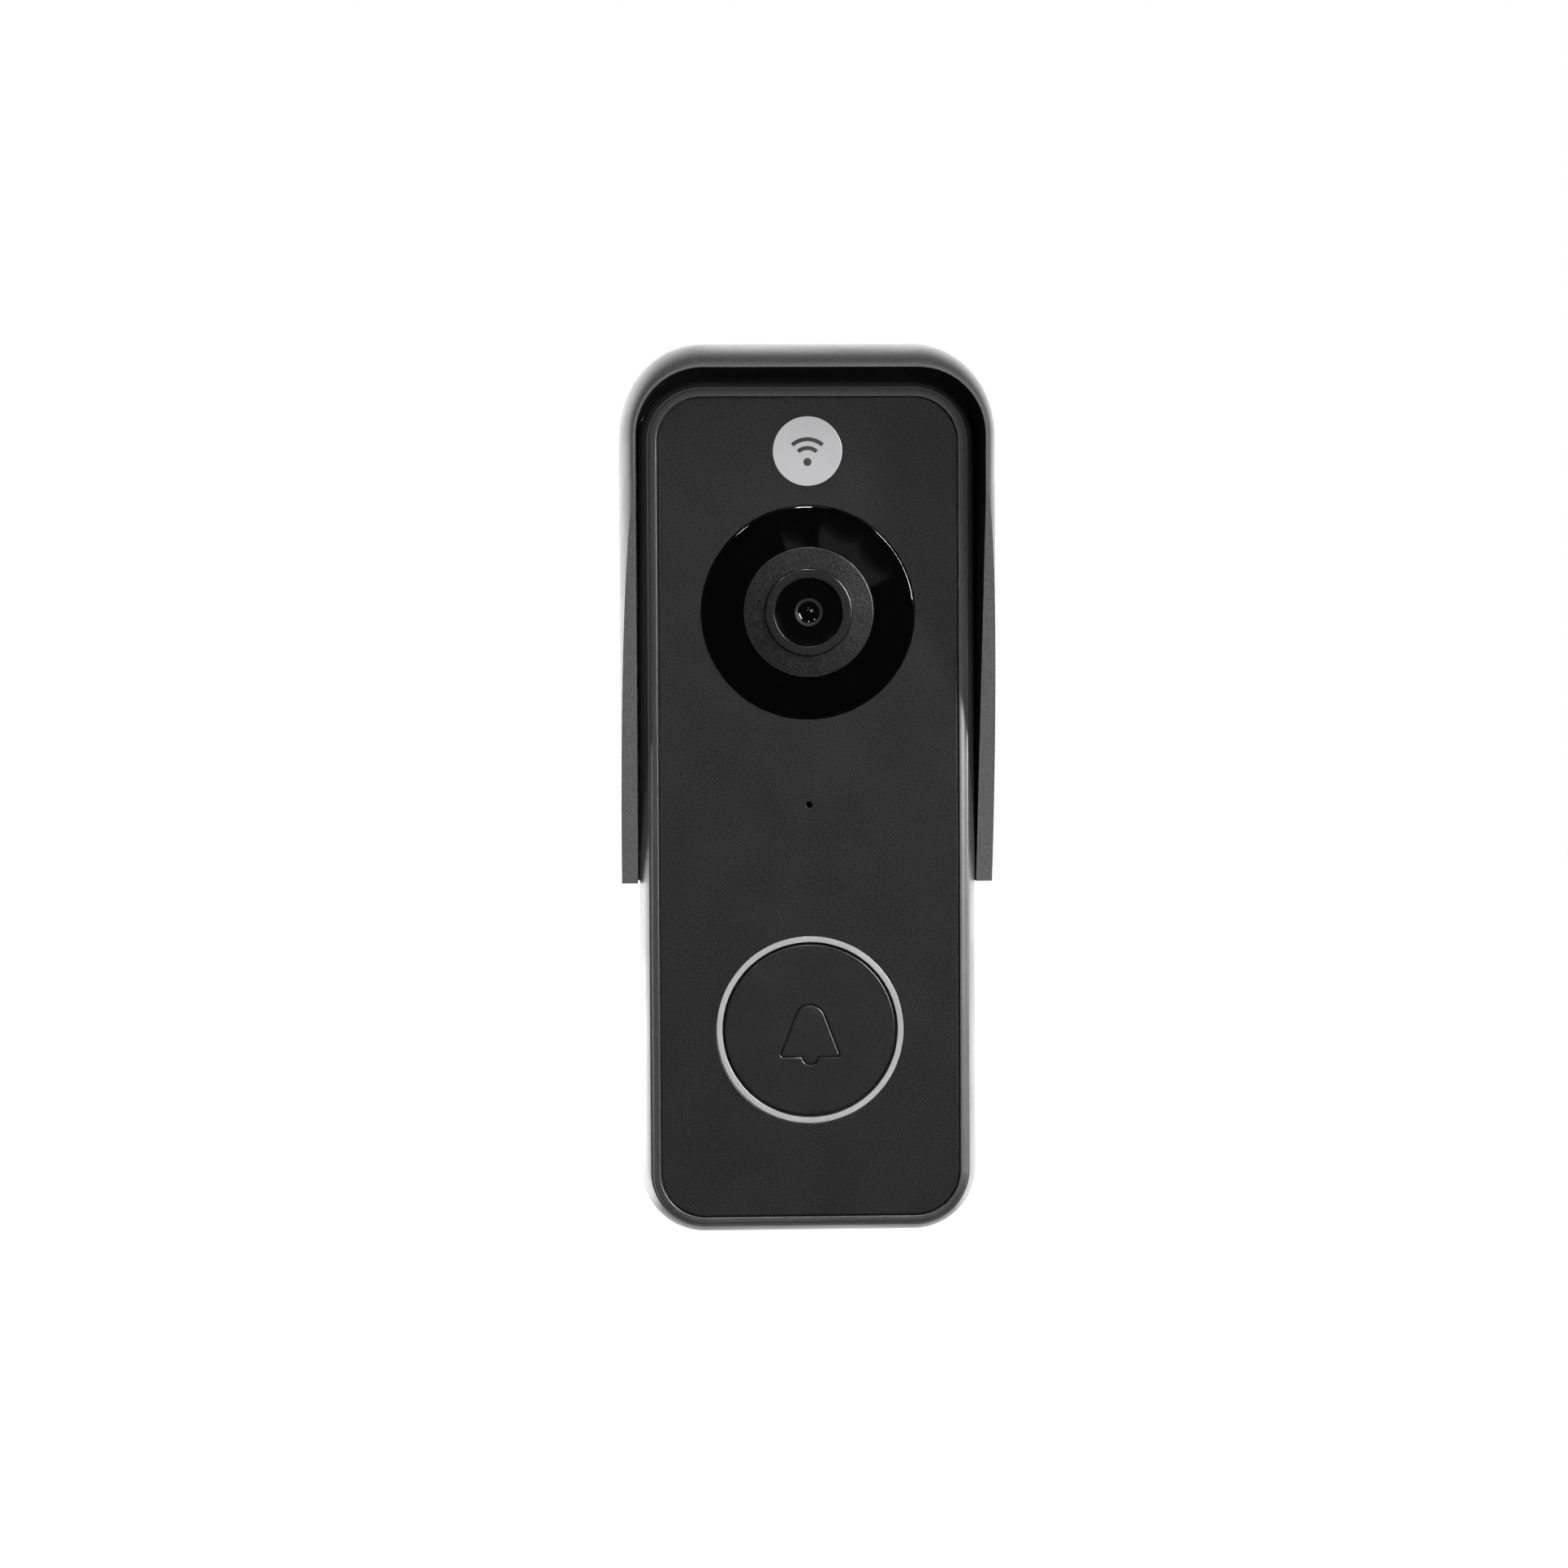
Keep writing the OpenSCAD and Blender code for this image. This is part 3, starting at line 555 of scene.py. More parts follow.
def gloss_plastic(name, colour, roughness=0.04):
    """Polished moulding with faint waviness and hairline wipe marks."""
    m = Shader(name, colour, roughness, Coat_Weight=0.2, Coat_Roughness=0.02)
    m.bump(m.noise(14.0, 1.0), 0.004)
    wipes = m.noise(0.5, 2.0, (1, 1, 14))
    m.roughness(m.ramp(wipes, 0.45, 0.75, roughness, roughness + 0.03))
    return m.material


def metal(name, colour, roughness, grain=0.3, depth=0.004, stretch=(1, 1, 1), metallic=1.0):
    """Metal with a directional or blasted finish, or metal paint where metallic is low."""
    m = Shader(name, colour, roughness, metallic)
    lines = m.noise(grain, 3.0, stretch)
    m.bump(lines, depth)
    m.roughness(m.ramp(lines, 0.3, 0.7, roughness - 0.05, roughness + 0.08))
    tint = m.noise(6.0, 3.0)
    m.colour(m.ramp(tint, 0.3, 0.7, tuple(c * 0.93 for c in colour), colour))
    return m.material


def coated_glass(name, grey):
    """Lens glass under a coating that takes most of its shine away."""
    m = Shader(name, (grey, grey, grey), 0.02, Specular_IOR_Level=0.12)
    m.roughness(m.ramp(m.noise(3.0, 2.0), 0.4, 0.7, 0.02, 0.05))
    return m.material


def soft_rubber(name, grey):
    """Dull rubber, paper or cable jacket: uneven in colour, with a soft bump."""
    m = Shader(name, (grey, grey, grey), 0.85)
    m.bump(m.noise(0.4, 3.0), 0.02)
    m.colour(m.ramp(m.noise(2.0, 3.0), 0.3, 0.7, grey * 0.8, grey * 1.25))
    return m.material


def laminate(name, colour):
    """Solder mask over copper tracks: darker and lighter patches under a clear gloss."""
    m = Shader(name, colour, 0.3, Coat_Weight=0.4, Coat_Roughness=0.15)
    tracks = m.noise(1.6, 1.0, (1, 1, 3))
    dark = tuple(c * 0.7 for c in colour)
    light = tuple(c * 1.6 for c in colour)
    m.colour(m.ramp(tracks, 0.48, 0.52, dark, light))
    m.bump(tracks, 0.02)
    return m.material


# Plastics: grey, roughness, size of the grain, depth of its bump, contrast and shine
HOUSING = grained_plastic("housing_grain", 0.068, 0.38, 0.18, 0.008, 0.2, 1.0)
HOOD = grained_plastic("hood_grain", 0.108, 0.38, 0.18, 0.008, 0.3, 0.35)
# Painted shade: a much darker, matt copy of the hood plastic for the hood's inner faces, standing in
# for the shade under the hood
HOOD_PAINTED_SHADE = grained_plastic("hood_painted_shade", 0.012, 0.8, 0.3, 0.01, 0.2, 0.1)
FACE_PLASTIC = grained_plastic("face_speckle", 0.0175, 0.33, 0.18, 0.012, 0.85, 0.4)
BUTTON_PLASTIC = grained_plastic("button_speckle", 0.0175, 0.33, 0.18, 0.003, 0.3, 0.4)
SHROUD = grained_plastic("shroud_grain", 0.011, 0.34, 0.3, 0.06, 0.8)
BARREL = grained_plastic("barrel_satin", 0.0155, 0.24, 0.2, 0.004, 0.12)
RETAINER = grained_plastic("retainer_ring", 0.022, 0.3, 0.2, 0.004, 0.12)
INNER_PLASTIC = grained_plastic("inner_plastic", 0.02, 0.55)
BADGE_INK = grained_plastic("badge_ink", 0.03, 0.5)
CHIP = grained_plastic("chip_resin", 0.02, 0.5)

# Polished plastics: colour and roughness
GLOSS = gloss_plastic("bezel_gloss", (0.002, 0.002, 0.002))
LED = gloss_plastic("led_resin", (0.8, 0.76, 0.6), 0.2)
FILM = gloss_plastic("cable_film", (0.4, 0.2, 0.04), 0.2)
SLEEVE = gloss_plastic("capacitor_sleeve", (0.03, 0.04, 0.1), 0.25)

# Metals: colour, roughness, size of the grain, depth of its bump and its stretch
BADGE = metal("badge_blasted", (0.50, 0.50, 0.51), 0.5, 0.16, 0.01, metallic=0.25)
BRACKET = metal("bracket_zinc", (0.26, 0.26, 0.27), 0.42, 0.8, 0.006, (1, 1, 0.08))
SCREW = metal("screw_zinc", (0.2, 0.2, 0.21), 0.3, 0.3)
SHIELD = metal("shield_tin", (0.62, 0.62, 0.62), 0.32, 0.7)
BRASS = metal("terminal_brass", (0.3, 0.21, 0.085), 0.3, 0.4)

# Glass, rubber, paper, cable jacket and circuit board
GLASS = coated_glass("front_coating", 0.003)
INNER_GLASS = coated_glass("inner_coating", 0.03)
RUBBER = soft_rubber("seal_rubber", 0.03)
PAPER = soft_rubber("cone_paper", 0.06)
WIRE = soft_rubber("wire_jacket", 0.12)
BOARD = laminate("board_mask", (0.01, 0.09, 0.045))


def light_guide():
    """Milky light guide: white with a soft sheen and slow changes in density."""
    m = Shader("ring_guide", (0.6, 0.6, 0.6), 0.35, Coat_Weight=0.3)
    m.colour(m.ramp(m.noise(5.0, 2.0), 0.3, 0.7, 0.43, 0.52))
    m.bump(m.noise(0.4, 2.0), 0.003)
    return m.material


RING = light_guide()


def paint(thing, material):
    thing.data.materials.clear()
    thing.data.materials.append(material)


def dress(piece, material, body, slot, *nodes):
    """Material, body, record slot and the CAD nodes that a new piece stands for. The record slot is
    not used.
    """
    paint(piece, material)
    even_out(piece)
    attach(piece, body)
    if nodes:
        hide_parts(*nodes)


# ---------- camera ----------
def make_camera():
    a, e = math.radians(CAMERA_AZIMUTH), math.radians(CAMERA_ELEVATION)
    back = Vector((math.sin(a) * math.cos(e), -math.cos(a) * math.cos(e), math.sin(e)))
    aim = Vector((AIM_X, -FACE, AIM_Z)) * MM
    data = bpy.data.cameras.new("camera")
    data.sensor_width = SENSOR_WIDTH
    data.lens = SENSOR_WIDTH * CAMERA_DISTANCE / FRAME_WIDTH
    data.clip_start, data.clip_end = 0.01, 20
    thing = bpy.data.objects.new("camera", data)
    thing.location = aim + back * CAMERA_DISTANCE * MM
    level = (-back).to_track_quat("-Z", "Y").to_matrix()
    roll = Matrix.Rotation(math.radians(CAMERA_ROLL), 3, "Z")
    thing.rotation_mode = "QUATERNION"
    thing.rotation_quaternion = (level @ roll).to_quaternion()
    bpy.context.scene.collection.objects.link(thing)
    bpy.context.scene.camera = thing


make_camera()


# ---------- housing ----------
def housing():
    """A swept shell with a rounded band, a rim, a ledge for the plate and a flange for the cover.
    Cut into it are the speaker's slots, the security screw's seat and the hood's grooves."""
    rim_in = BAND_INSET + RIM_WIDTH
    front = BODY_DEPTH
    back = front - RIM_DROP - BAND_DEPTH
    shares = [k / BAND_STEPS for k in range(BAND_STEPS)]
    band = [
        (BAND_INSET * share * (1 + BAND_BOW * (share - 1)), back + BAND_DEPTH * share)
        for share in shares
    ]
    middle = BAND_INSET + RIM_WIDTH / 2
    crown = front - math.tan(math.radians(RIM_TILT_IN)) * RIM_WIDTH / 2
    ledge = front - PLATE_T - LEDGE_GAP
    rim = rounded_loop([
        (BAND_INSET, front - RIM_DROP, RIM_OUTER_R), (middle, crown, RIM_CROWN_R),
        (rim_in, front, RIM_INNER_R), (rim_in, ledge, 0),
    ], RIM_ARC_STEPS)
    profile = [(REAR_CHAMFER_IN, REAR_EDGE), (0, REAR_CHAMFER)] + band + rim + [
        (LEDGE_IN, ledge), (LEDGE_IN, ledge - LEDGE_T), (WALL, ledge - LEDGE_T),
        (WALL, FLANGE_FRONT), (FLANGE_IN, FLANGE_FRONT), (FLANGE_IN, FLANGE_BACK),
        (WALL, FLANGE_BACK), (WALL, REAR_EDGE),
    ]
    shell = sweep("housing_shell", profile, rounded_rectangle(BODY_W, BODY_H, CORNER_R))
    bottom = HOUSING_LOW.z
    cutters = [
        block(
            "slot",
            (SLOT_PITCH * i - SLOT_HALF_W, SLOT_BACK, bottom - CUT),
            (SLOT_PITCH * i + SLOT_HALF_W, SLOT_FRONT, bottom + WALL + CUT),
        )
        for i in range(-3, 4)
    ]
    out = -centre("security_screw").y
    cutters.append(upright_rod("seat", SCREW_SEAT_R, bottom - CUT, bottom + SCREW_SEAT_DEPTH, out))
    cutters.append(upright_rod("hole", SCREW_HOLE_R, bottom, bottom + SCREW_HOLE_DEPTH, out))
    for side in (-1, 1):
        inner, outer = side * (BODY_W / 2 - GROOVE_DEPTH), side * (BODY_W / 2 + CUT)
        cutters.append(block(
            "groove",
            (min(inner, outer), RIB_BACK - GROOVE_ROOM, HOOD_LOW.z - GROOVE_FOOT),
            (max(inner, outer), RIB_FRONT + GROOVE_ROOM, HOUSING_HIGH.z + CUT),
        ))
    carve(shell, cutters)
    dress(shell, HOUSING, "unit", "housing_plastic", "housing_frame")


def upright_rod(name, r, z0, z1, out, steps=48):
    """A rod along Z, centred a distance out from the wall."""
    ring = circle(r, steps)
    verts = [(x, out + y, z) for z in (z0, z1) for x, y in ring]
    faces = [(i, (i + 1) % steps, steps + (i + 1) % steps, steps + i) for i in range(steps)]
    faces += [tuple(range(steps)), tuple(range(steps, 2 * steps))]
    return new_object(name, verts, faces)


housing()


# ---------- face plate ----------
def face_plate():
    """The flat plate, with holes for the bezel, the light ring, the badge and the microphone."""
    outer = [point for point, _ in rounded_rectangle(PLATE_W, PLATE_H, PLATE_R)]
    holes = [
        circle(radius("lens_bezel") + BEZEL_ROOM, ROUND_STEPS, LENS_Z),
        circle(RING_OUT_R + RING_ROOM, ROUND_STEPS, BUTTON_Z),
        circle(radius("badge_disc") + BADGE_ROOM, SMALL_ROUND_STEPS, BADGE_Z),
        circle(MIC_R, MIC_STEPS, MIC_Z),
    ]
    plate = cut_plate("face_panel", [outer] + holes, FACE - PLATE_T, FACE, PLATE_EDGE_R)
    dress(plate, FACE_PLASTIC, "unit", "face_plastic", "face_plate")


face_plate()


# ---------- badge ----------
def badge():
    """A blasted metal disc with a dot under two arcs, a common sign for radio."""
    top, back = front_of("badge_disc"), back_of("badge_disc")
    r = radius("badge_disc")
    disc = lathe("badge_plate", rounded_loop([
        (0, back, 0), (r, back, 0), (r, top, BADGE_EDGE_R), (0, top, 0),
    ]), BADGE_Z, SMALL_ROUND_STEPS)
    dress(disc, BADGE, "unit", "badge_metal", "badge_disc")
    shapes = [
        arc(0, 0, inner + SIGN_STROKE, SIGN_START, SIGN_END, SIGN_STEPS)
        + arc(0, 0, inner, SIGN_END, SIGN_START, SIGN_STEPS)
        for inner in SIGN_RADII
    ]
    shapes.append(circle(DOT_R, DOT_STEPS))
    marks = [
        cut_plate("mark", [shape], top - SIGN_SINK, top + SIGN_RISE, SIGN_RISE, BADGE_Z - SIGN_DROP)
        for shape in shapes
    ]
    dress(joined("badge_sign", marks), BADGE_INK, "unit", "badge_metal")


badge()


# ---------- camera parts ----------
def bezel():
    """A glossy ring that rises a little towards the lens, with a rounded outer lip."""
    r = radius("lens_bezel")
    inner = radius("lens_shroud") + BEZEL_GAP
    top = front_of("lens_bezel")
    ring = lathe("bezel_ring", rounded_loop([
        (inner, FACE - BEZEL_BACK, 0), (r, FACE - BEZEL_BACK, 0),
        (r, FACE + BEZEL_RISE, BEZEL_EDGE_R), (inner, top - BEZEL_INNER_R, BEZEL_INNER_R),
    ], BEZEL_STEPS), LENS_Z)
    dress(ring, GLOSS, "unit", "gloss_black", "lens_bezel")


def shroud():
    """A matt cone between the bezel and the barrel."""
    top, back = front_of("lens_shroud"), back_of("lens_shroud")
    r = radius("lens_shroud")
    inner = radius("lens_barrel") + SHROUD_GAP
    cone = lathe("shroud_cone", rounded_loop([
        (inner, back, 0), (r, back, 0),
        (r, top - SHROUD_SLOPE, SHROUD_EDGE_R), (inner, top, SHROUD_INNER_R),
    ]), LENS_Z)
    dress(cone, SHROUD, "unit", "shroud_plastic", "lens_shroud")


def barrel():
    """The lens barrel: a rounded outer edge and a chamfer down to the glass."""
    top, back = front_of("lens_barrel"), back_of("lens_barrel")
    r = radius("lens_barrel")
    seat = GLASS_R + GLASS_GAP
    tube = lathe("barrel_tube", rounded_loop([
        (BARREL_BORE_R, back, 0), (BARREL_BACK_R, back, 0), (BARREL_BACK_R, BARREL_STEP, 0),
        (r, BARREL_STEP, 0), (r, top, BARREL_EDGE_R),
        (seat + BARREL_CHAMFER, top, BARREL_CHAMFER_R), (seat, top - BARREL_CHAMFER, BARREL_CHAMFER_R),
        (seat, GLASS_SEAT, 0), (BARREL_BORE_R, GLASS_SEAT, 0),
    ]), LENS_Z)
    dress(tube, BARREL, "unit", "barrel_metal", "lens_barrel")


def front_glass():
    """The front glass: a dome with a stepped opening in the middle, for the small front element."""
    top, back = front_of("front_glass"), back_of("front_glass")
    dome_r = (GLASS_R ** 2 + GLASS_DOME ** 2) / (2 * GLASS_DOME)
    start = math.degrees(math.acos(GLASS_R / dome_r))
    end = math.degrees(math.acos(OPENING_R / dome_r))
    dome = arc(0, top - dome_r, dome_r, start, end, GLASS_STEPS)
    edge = dome[-1][1]
    upper, lower = edge - OPENING_DEPTH_1, edge - OPENING_DEPTH_2
    steps = rounded_loop([
        (OPENING_R - OPENING_STEP_1, upper, OPENING_EDGE_R),
        (OPENING_R - OPENING_STEP_2, upper, OPENING_STEP_R),
        (OPENING_R - OPENING_STEP_3, lower, OPENING_STEP_R),
        (ELEMENT_R, lower, OPENING_STEP_R),
    ], OPENING_ARC_STEPS)
    bulge = (lower - ELEMENT_R * ELEMENT_SINK, ELEMENT_R * ELEMENT_CURVE)
    element = arc(0, *bulge, ELEMENT_START, 90, ELEMENT_STEPS)
    element[-1] = (0, element[-1][1])
    glass = lathe("glass_dome", [(0, back), (GLASS_R, back)] + dome + steps + element, LENS_Z)
    dress(glass, GLASS, "unit", "lens_glass", "front_glass")
    glass.data.materials.append(RETAINER)
    for face in glass.data.polygons:
        across = math.hypot(face.center.x, face.center.z - LENS_Z * MM) / MM
        in_front = -face.center.y > (edge - OPENING_FLOOR) * MM
        if OPENING_R - OPENING_STEP_1 < across < OPENING_R and in_front:
            face.material_index = 1


bezel()
shroud()
barrel()
front_glass()


# ---------- call button ----------
def light_ring():
    """The milky ring round the button, on a wider foot behind the face plate."""
    top, back = front_of("light_ring"), back_of("light_ring")
    foot_r = radius("light_ring")
    ring = lathe("ring_light", rounded_loop([
        (RING_IN_R, back, 0), (foot_r, back, 0), (foot_r, back + RING_FOOT_T, 0),
        (RING_OUT_R, back + RING_FOOT_T, 0), (RING_OUT_R, top, RING_EDGE_R),
        (RING_IN_R, top, RING_EDGE_R),
    ]), BUTTON_Z)
    dress(ring, RING, "unit", "light_guide", "light_ring")


def button_cap():
    """The cap with the bell engraved in its face, and the skirt and plunger behind it."""
    top, back = front_of("call_button"), back_of("call_button")
    r = radius("call_button")
    groove_floor = top - BELL_GROOVE_DEPTH
    face_back = groove_floor - CAP_FACE_OVERLAP
    base_back, base_front = top - CAP_T, groove_floor - CAP_BASE_OVERLAP
    around = [circle(r), bell_outline(BELL_GROOVE / 2)]
    within = [bell_outline(-BELL_GROOVE / 2)]
    base_r = r - CAP_BASE_IN
    cap = joined("button_cap", [
        cut_plate("cap_face", around, face_back, top, BELL_EDGE_R, BUTTON_Z),
        cut_plate("cap_bell", within, face_back, top, BELL_EDGE_R, BUTTON_Z),
        lathe("cap_base", [
            (0, base_back), (base_r, base_back), (base_r, base_front), (0, base_front),
        ], BUTTON_Z),
        lathe("cap_skirt", [
            (SKIRT_IN_R, back), (SNAP_R, back), (SNAP_R, back + SNAP_H), (SKIRT_R, back + SNAP_H),
            (SKIRT_R, base_back), (SKIRT_IN_R, base_back),
        ], BUTTON_Z),
        lathe("cap_plunger", [
            (0, PLUNGER_BACK), (PLUNGER_R, PLUNGER_BACK), (PLUNGER_R, base_back), (0, base_back),
        ], BUTTON_Z, PLUNGER_STEPS),
    ])
    dress(cap, BUTTON_PLASTIC, "call_button", "face_plastic", "call_button")


light_ring()
button_cap()


# ---------- rain hood ----------
def hood_front(z):
    """Distance from the wall of the hood's front edge at a height."""
    share = (z - HOOD_LOW.z) / (HOOD_SLANT_Z - HOOD_LOW.z)
    return HOOD_LEG_DEPTH + (HOOD_LIP - HOOD_LEG_DEPTH) * min(1.0, max(0.0, share))


def hood_rows(front):
    """Distances from the wall along the hood up to its front edge, closer together in the curve."""
    reach = (HOOD_LIP - HOOD_ROUND_START) / math.sin(math.radians(HOOD_ROUND))
    flat = min(front, HOOD_ROUND_START)
    rows = [HOOD_REAR + (flat - HOOD_REAR) * k / HOOD_BACK_STEPS for k in range(HOOD_BACK_STEPS)]
    end = math.asin(min(1.0, max(0.0, (front - HOOD_ROUND_START) / reach)))
    return rows + [
        flat + reach * math.sin(end * k / HOOD_ROUND_STEPS) for k in range(HOOD_ROUND_STEPS + 1)
    ]


def hood_thickness(out, roof):
    """Thickness at a distance from the wall; roof goes from 0 on the legs to 1 on the roof."""
    end = math.radians(HOOD_ROUND)
    t = max(0.0, (out - HOOD_ROUND_START) / (HOOD_LIP - HOOD_ROUND_START)) * math.sin(end)
    share = (math.sqrt(1 - min(t, math.sin(end)) ** 2) - math.cos(end)) / (1 - math.cos(end))
    thick = HOOD_LEG_T + (HOOD_ROOF_T - HOOD_LEG_T) * roof
    return HOOD_LIP_T + (thick - HOOD_LIP_T) * share


def hood_stations():
    """Points up the left leg, over the roof and down the right leg, on the inner face."""
    half, top = BODY_W / 2 + HOOD_GAP, HOOD_HIGH.z - HOOD_ROOF_T
    leg_top = top - HOOD_CORNER_R
    leg = [HOOD_LOW.z + (leg_top - HOOD_LOW.z) * i / HOOD_LEG_STEPS for i in range(HOOD_LEG_STEPS)]
    stations = [((-half, z), (-1.0, 0.0)) for z in leg]
    for side, start, end in ((-1, 180, 90), (1, 90, 0)):
        cx = side * (half - HOOD_CORNER_R)
        for i in range(CORNER_STEPS + 1):
            a = math.radians(start + (end - start) * i / CORNER_STEPS)
            normal = (math.cos(a), math.sin(a))
            stations.append((
                (cx + HOOD_CORNER_R * normal[0], leg_top + HOOD_CORNER_R * normal[1]), normal
            ))
    stations += [((half, z), (1.0, 0.0)) for z in reversed(leg)]
    return stations


def rain_hood():
    """The hood as one curved sheet, thick at the wall and thin at the lip, with a rib in each leg."""
    stations = hood_stations()
    rows = HOOD_BACK_STEPS + HOOD_ROUND_STEPS + 1
    verts = []
    for (x, z), (nx, nz) in stations:
        outer, inner = [], []
        for out in hood_rows(hood_front(z)):
            thick = hood_thickness(out, nz * nz)
            outer.append((x + nx * thick, out, z + nz * thick))
            inner.append((x, out, z))
        verts += outer + inner[::-1]
    n = 2 * rows
    count = len(stations)
    faces = [
        (i * n + k, i * n + (k + 1) % n, (i + 1) * n + (k + 1) % n, (i + 1) * n + k)
        for i in range(count - 1)
        for k in range(n)
    ]
    for i in (0, count - 1):
        faces += [
            (i * n + k, i * n + k + 1, i * n + n - 2 - k, i * n + n - 1 - k)
            for k in range(rows - 1)
        ]
    parts = [new_object("hood_shell", verts, faces, HOOD_SHARP_ANGLE)]
    half = BODY_W / 2 + HOOD_GAP
    for side in (-1, 1):
        x0, x1 = side * (half - RIB_DEPTH), side * (half + RIB_ROOT)
        parts.append(block(
            "rib", (min(x0, x1), RIB_BACK, HOOD_LOW.z + RIB_FOOT),
            (max(x0, x1), RIB_FRONT, BODY_H / 2 - CORNER_R + RIB_ABOVE_CORNER),
        ))
    hood = joined("hood_shell", parts)
    edge = hood.modifiers.new("edges", "BEVEL")
    edge.width = HOOD_EDGE_R * MM
    edge.segments = HOOD_EDGE_STEPS
    edge.limit_method = "ANGLE"
    edge.angle_limit = math.radians(HOOD_EDGE_ANGLE)
    edge.harden_normals = True
    dress(hood, HOOD, "hood", "hood_plastic", "rain_hood")
    # Painted shade: the faces that look in towards the body, and the roof's underside, take the dark
    # copy of the hood plastic in place of the shade that falls there
    hood.data.materials.append(HOOD_PAINTED_SHADE)
    for face in hood.data.polygons:
        inward = face.normal.x * face.center.x < -HOOD_SHADE_SLOPE * abs(face.center.x)
        under_roof = face.normal.z < -HOOD_SHADE_SLOPE and face.center.z > HOOD_SLANT_Z * MM
        if inward or under_roof:
            face.material_index = 1


rain_hood()


# ---------- CAD nodes that stay, with their finishes ----------
FINISHES = {
    "wall_plate": BRACKET, "rear_cover": HOUSING, "rear_seal": RUBBER, "front_gasket": RUBBER,
    "case_screws": SCREW, "security_screw": SCREW, "board_screws": SCREW, "holder_screws": SCREW,
    "guide_screws": SCREW, "terminal_plates": BRASS, "terminal_screws": BRASS, "reset_button": RUBBER,
    "reset_switch": CHIP, "iris_ring": INNER_PLASTIC, "inner_lens": INNER_GLASS,
    "rear_lens": INNER_GLASS, "infrared_filter": INNER_GLASS, "lens_holder": INNER_PLASTIC,
    "image_sensor": CHIP,
    "infrared_board": BOARD, "infrared_leds": LED, "main_board": BOARD, "processor": CHIP,
    "thermal_pad": RUBBER, "heat_spreader": SHIELD, "memory_chips": CHIP, "radio_shield": SHIELD,
    "radio_antenna": BRASS, "board_link": LED, "small_parts": CHIP, "mic_board": BOARD,
    "microphone": BRASS, "mic_boot": RUBBER, "ring_gasket": RUBBER, "button_guide": INNER_PLASTIC,
    "button_board": BOARD, "ring_leds": LED, "switch_body": SHIELD, "switch_dome": BRASS,
    "switch_stem": INNER_PLASTIC, "ribbon_cable": FILM, "speaker_frame": INNER_PLASTIC,
    "speaker_magnet": SCREW, "speaker_cone": PAPER, "speaker_gasket": RUBBER, "speaker_wires": WIRE,
    "power_board": BOARD, "power_inductor": CHIP, "capacitors": SLEEVE,
}
for node_name, finish in FINISHES.items():
    paint(frame["nodes"][node_name], finish)


# ---------- floor, light and world ----------
def floor():
    """A plain white floor below the object, which takes no part in lighting it."""
    mesh = bpy.data.meshes.new("floor")
    half = FLOOR_SIZE / 2 * MM
    corners = [(-half, -half, 0), (half, -half, 0), (half, half, 0), (-half, half, 0)]
    mesh.from_pydata(corners, [], [(0, 1, 2, 3)])
    thing = bpy.data.objects.new("floor", mesh)
    thing.location.z = (HOUSING_LOW.z - FLOOR_DROP) * MM
    bpy.context.scene.collection.objects.link(thing)
    m = Shader("floor_white", (0.9, 0.9, 0.9), 0.9)
    m.colour(m.ramp(m.noise(300.0, 2.0), 0.3, 0.7, 0.89, 0.91))
    m.shader.inputs["Emission Color"].default_value = (1, 1, 1, 1)
    m.shader.inputs["Emission Strength"].default_value = FLOOR_GLOW
    paint(thing, m.material)
    thing.visible_glossy = False
    thing.visible_diffuse = False


def area_light(name, azimuth, elevation, distance, size, power, glossy=True, diffuse=True, turn=0):
    """A soft box aimed at the face, from so far to its right and above it, and turned about its aim.
    Angles are in degrees, the distance and size in metres, the power in watts."""
    data = bpy.data.lights.new(name, "AREA")
    data.shape = "RECTANGLE"
    data.size, data.size_y = size
    data.energy = power
    thing = bpy.data.objects.new(name, data)
    a, e = math.radians(azimuth), math.radians(elevation)
    away = Vector((math.sin(a) * math.cos(e), -math.cos(a) * math.cos(e), math.sin(e)))
    thing.location = away * distance + Vector((0, -FACE * MM, 0))
    thing.rotation_mode = "QUATERNION"
    level = away.to_track_quat("Z", "Y")
    thing.rotation_quaternion = level @ Quaternion((0, 0, 1), math.radians(turn))
    thing.visible_glossy = glossy
    thing.visible_diffuse = diffuse
    bpy.context.scene.collection.objects.link(thing)


# The world's brightness on surfaces is the product of two tables of (direction, level), where
# the direction goes from -1 in front to 1 behind in one, and from -1 below to 1 above in the other
WORLD_BY_DEPTH = [(-1.0, 0.0), (0.0, 0.0), (0.5, 0.3), (0.7, 1.3), (0.85, 3.2), (1.0, 4.5)]
WORLD_BY_HEIGHT = [(-1.0, 0.8), (-0.25, 0.75), (0.0, 0.85), (1.0, 1.2)]


def world_ramp(nodes, links, value, stops):
    """A table of straight lines from a direction's component, -1 to 1, to a brightness."""
    curve = nodes.new("ShaderNodeFloatCurve")
    top = max(level for where, level in stops)
    line = curve.mapping.curves[0]
    while len(line.points) < len(stops):
        line.points.new(0.5, 0.5)
    for point, (where, level) in zip(line.points, stops):
        point.location = ((where + 1) / 2, level / top)
        point.handle_type = "VECTOR"
    curve.mapping.update()
    shift = nodes.new("ShaderNodeMath")
    shift.operation = "MULTIPLY_ADD"
    shift.inputs[1].default_value = 0.5
    shift.inputs[2].default_value = 0.5
    links.new(value, shift.inputs[0])
    links.new(shift.outputs["Value"], curve.inputs["Value"])
    scale = nodes.new("ShaderNodeMath")
    scale.operation = "MULTIPLY"
    scale.inputs[1].default_value = top
    links.new(curve.outputs["Value"], scale.inputs[0])
    return scale.outputs["Value"]


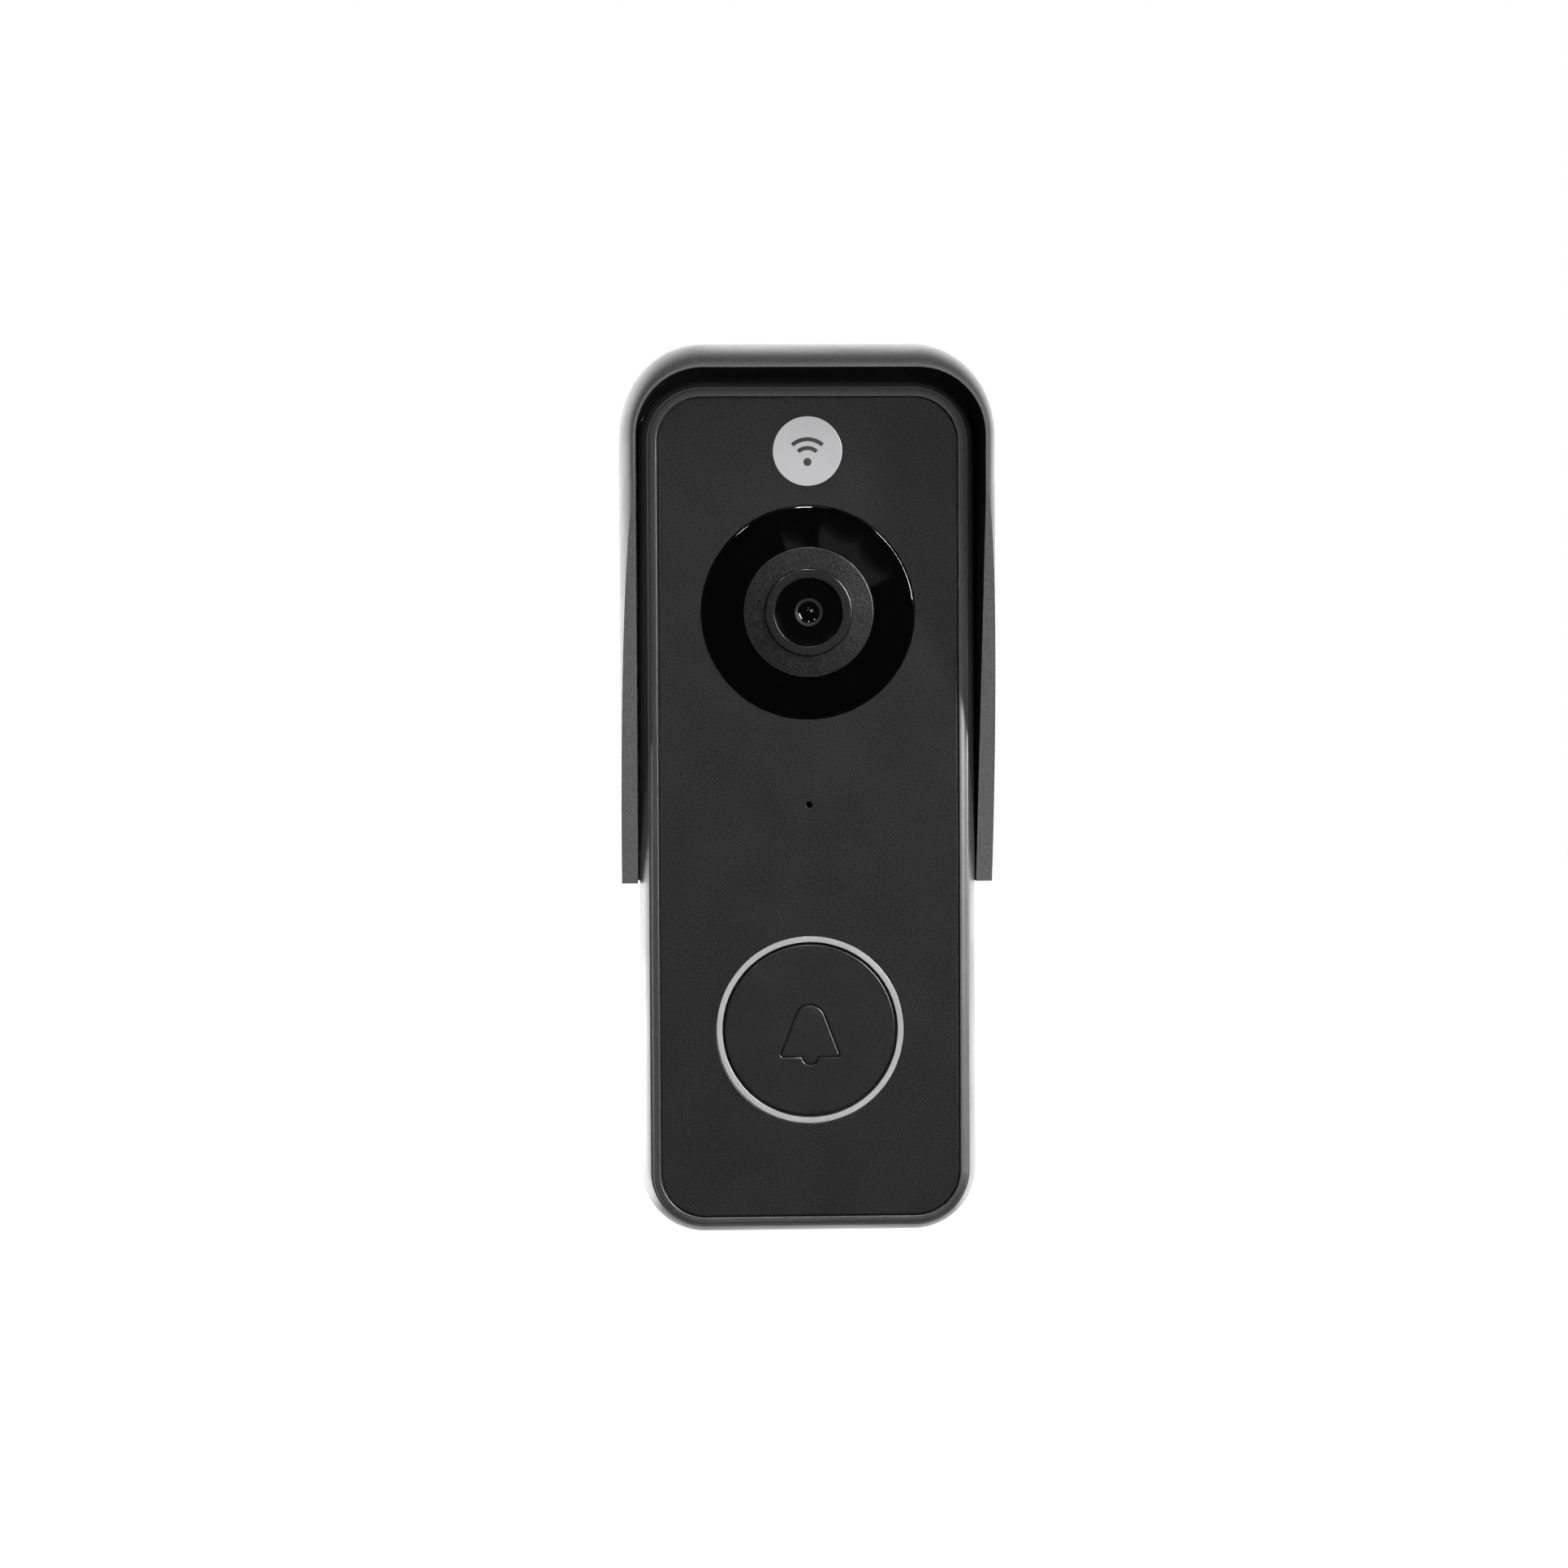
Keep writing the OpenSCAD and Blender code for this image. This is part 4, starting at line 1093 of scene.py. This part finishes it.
def world():
    """White to the eye; to the surfaces, bright behind the object, dim in front of it."""
    made = bpy.data.worlds.new("world")
    bpy.context.scene.world = made
    made.use_nodes = True
    nodes, links = made.node_tree.nodes, made.node_tree.links
    nodes.clear()
    out = nodes.new("ShaderNodeOutputWorld")
    seen = nodes.new("ShaderNodeBackground")
    seen.inputs["Color"].default_value = (1, 1, 1, 1)
    seen.inputs["Strength"].default_value = 1.0
    lit = nodes.new("ShaderNodeBackground")
    place = nodes.new("ShaderNodeTexCoord")
    split = nodes.new("ShaderNodeSeparateXYZ")
    links.new(place.outputs["Generated"], split.inputs["Vector"])
    depth = world_ramp(nodes, links, split.outputs["Y"], WORLD_BY_DEPTH)
    height = world_ramp(nodes, links, split.outputs["Z"], WORLD_BY_HEIGHT)
    both = nodes.new("ShaderNodeMath")
    both.operation = "MULTIPLY"
    links.new(depth, both.inputs[0])
    links.new(height, both.inputs[1])
    links.new(both.outputs["Value"], lit.inputs["Strength"])
    path = nodes.new("ShaderNodeLightPath")
    mix = nodes.new("ShaderNodeMixShader")
    links.new(path.outputs["Is Camera Ray"], mix.inputs["Fac"])
    links.new(lit.outputs["Background"], mix.inputs[1])
    links.new(seen.outputs["Background"], mix.inputs[2])
    links.new(mix.outputs["Shader"], out.inputs["Surface"])


floor()
world()
# Light that only shades, then light that only shows in reflections: soft boxes, the pale patches
# in the glossy bezel, and the sides
area_light("front", 6, 4, 1.0, (0.5, 0.5), 8.5, glossy=False)
area_light("low", 0, -45, 1.0, (0.6, 0.3), 6, glossy=False)
area_light("key", 54, 24, 1.0, (0.2, 0.6), 33, diffuse=False)
area_light("top", 2, 58, 1.0, (0.12, 0.12), 6, diffuse=False)
area_light("left", -38, 42, 1.0, (0.08, 0.12), 2, diffuse=False)
area_light("patch_top", 1.3, 9.8, 1.0, (0.039, 0.009), 0.00032, diffuse=False)
area_light("patch_right", 5.9, 9.55, 1.0, (0.07, 0.009), 0.00055, diffuse=False, turn=-24)
area_light("patch_far", 9.0, 7.0, 1.0, (0.072, 0.01), 0.00062, diffuse=False, turn=-51)
area_light("side_right", 85, 5, 1.0, (0.3, 0.6), 2.5, diffuse=False)
area_light("side_left", -85, 5, 1.0, (0.3, 0.6), 2, diffuse=False)
area_light("strip_right", 140, -16, 0.8, (0.3, 0.4), 1.2, diffuse=False)
area_light("strip_left", -140, -16, 0.8, (0.3, 0.4), 2.5, diffuse=False)
bpy.context.scene.view_settings.view_transform = "Standard"
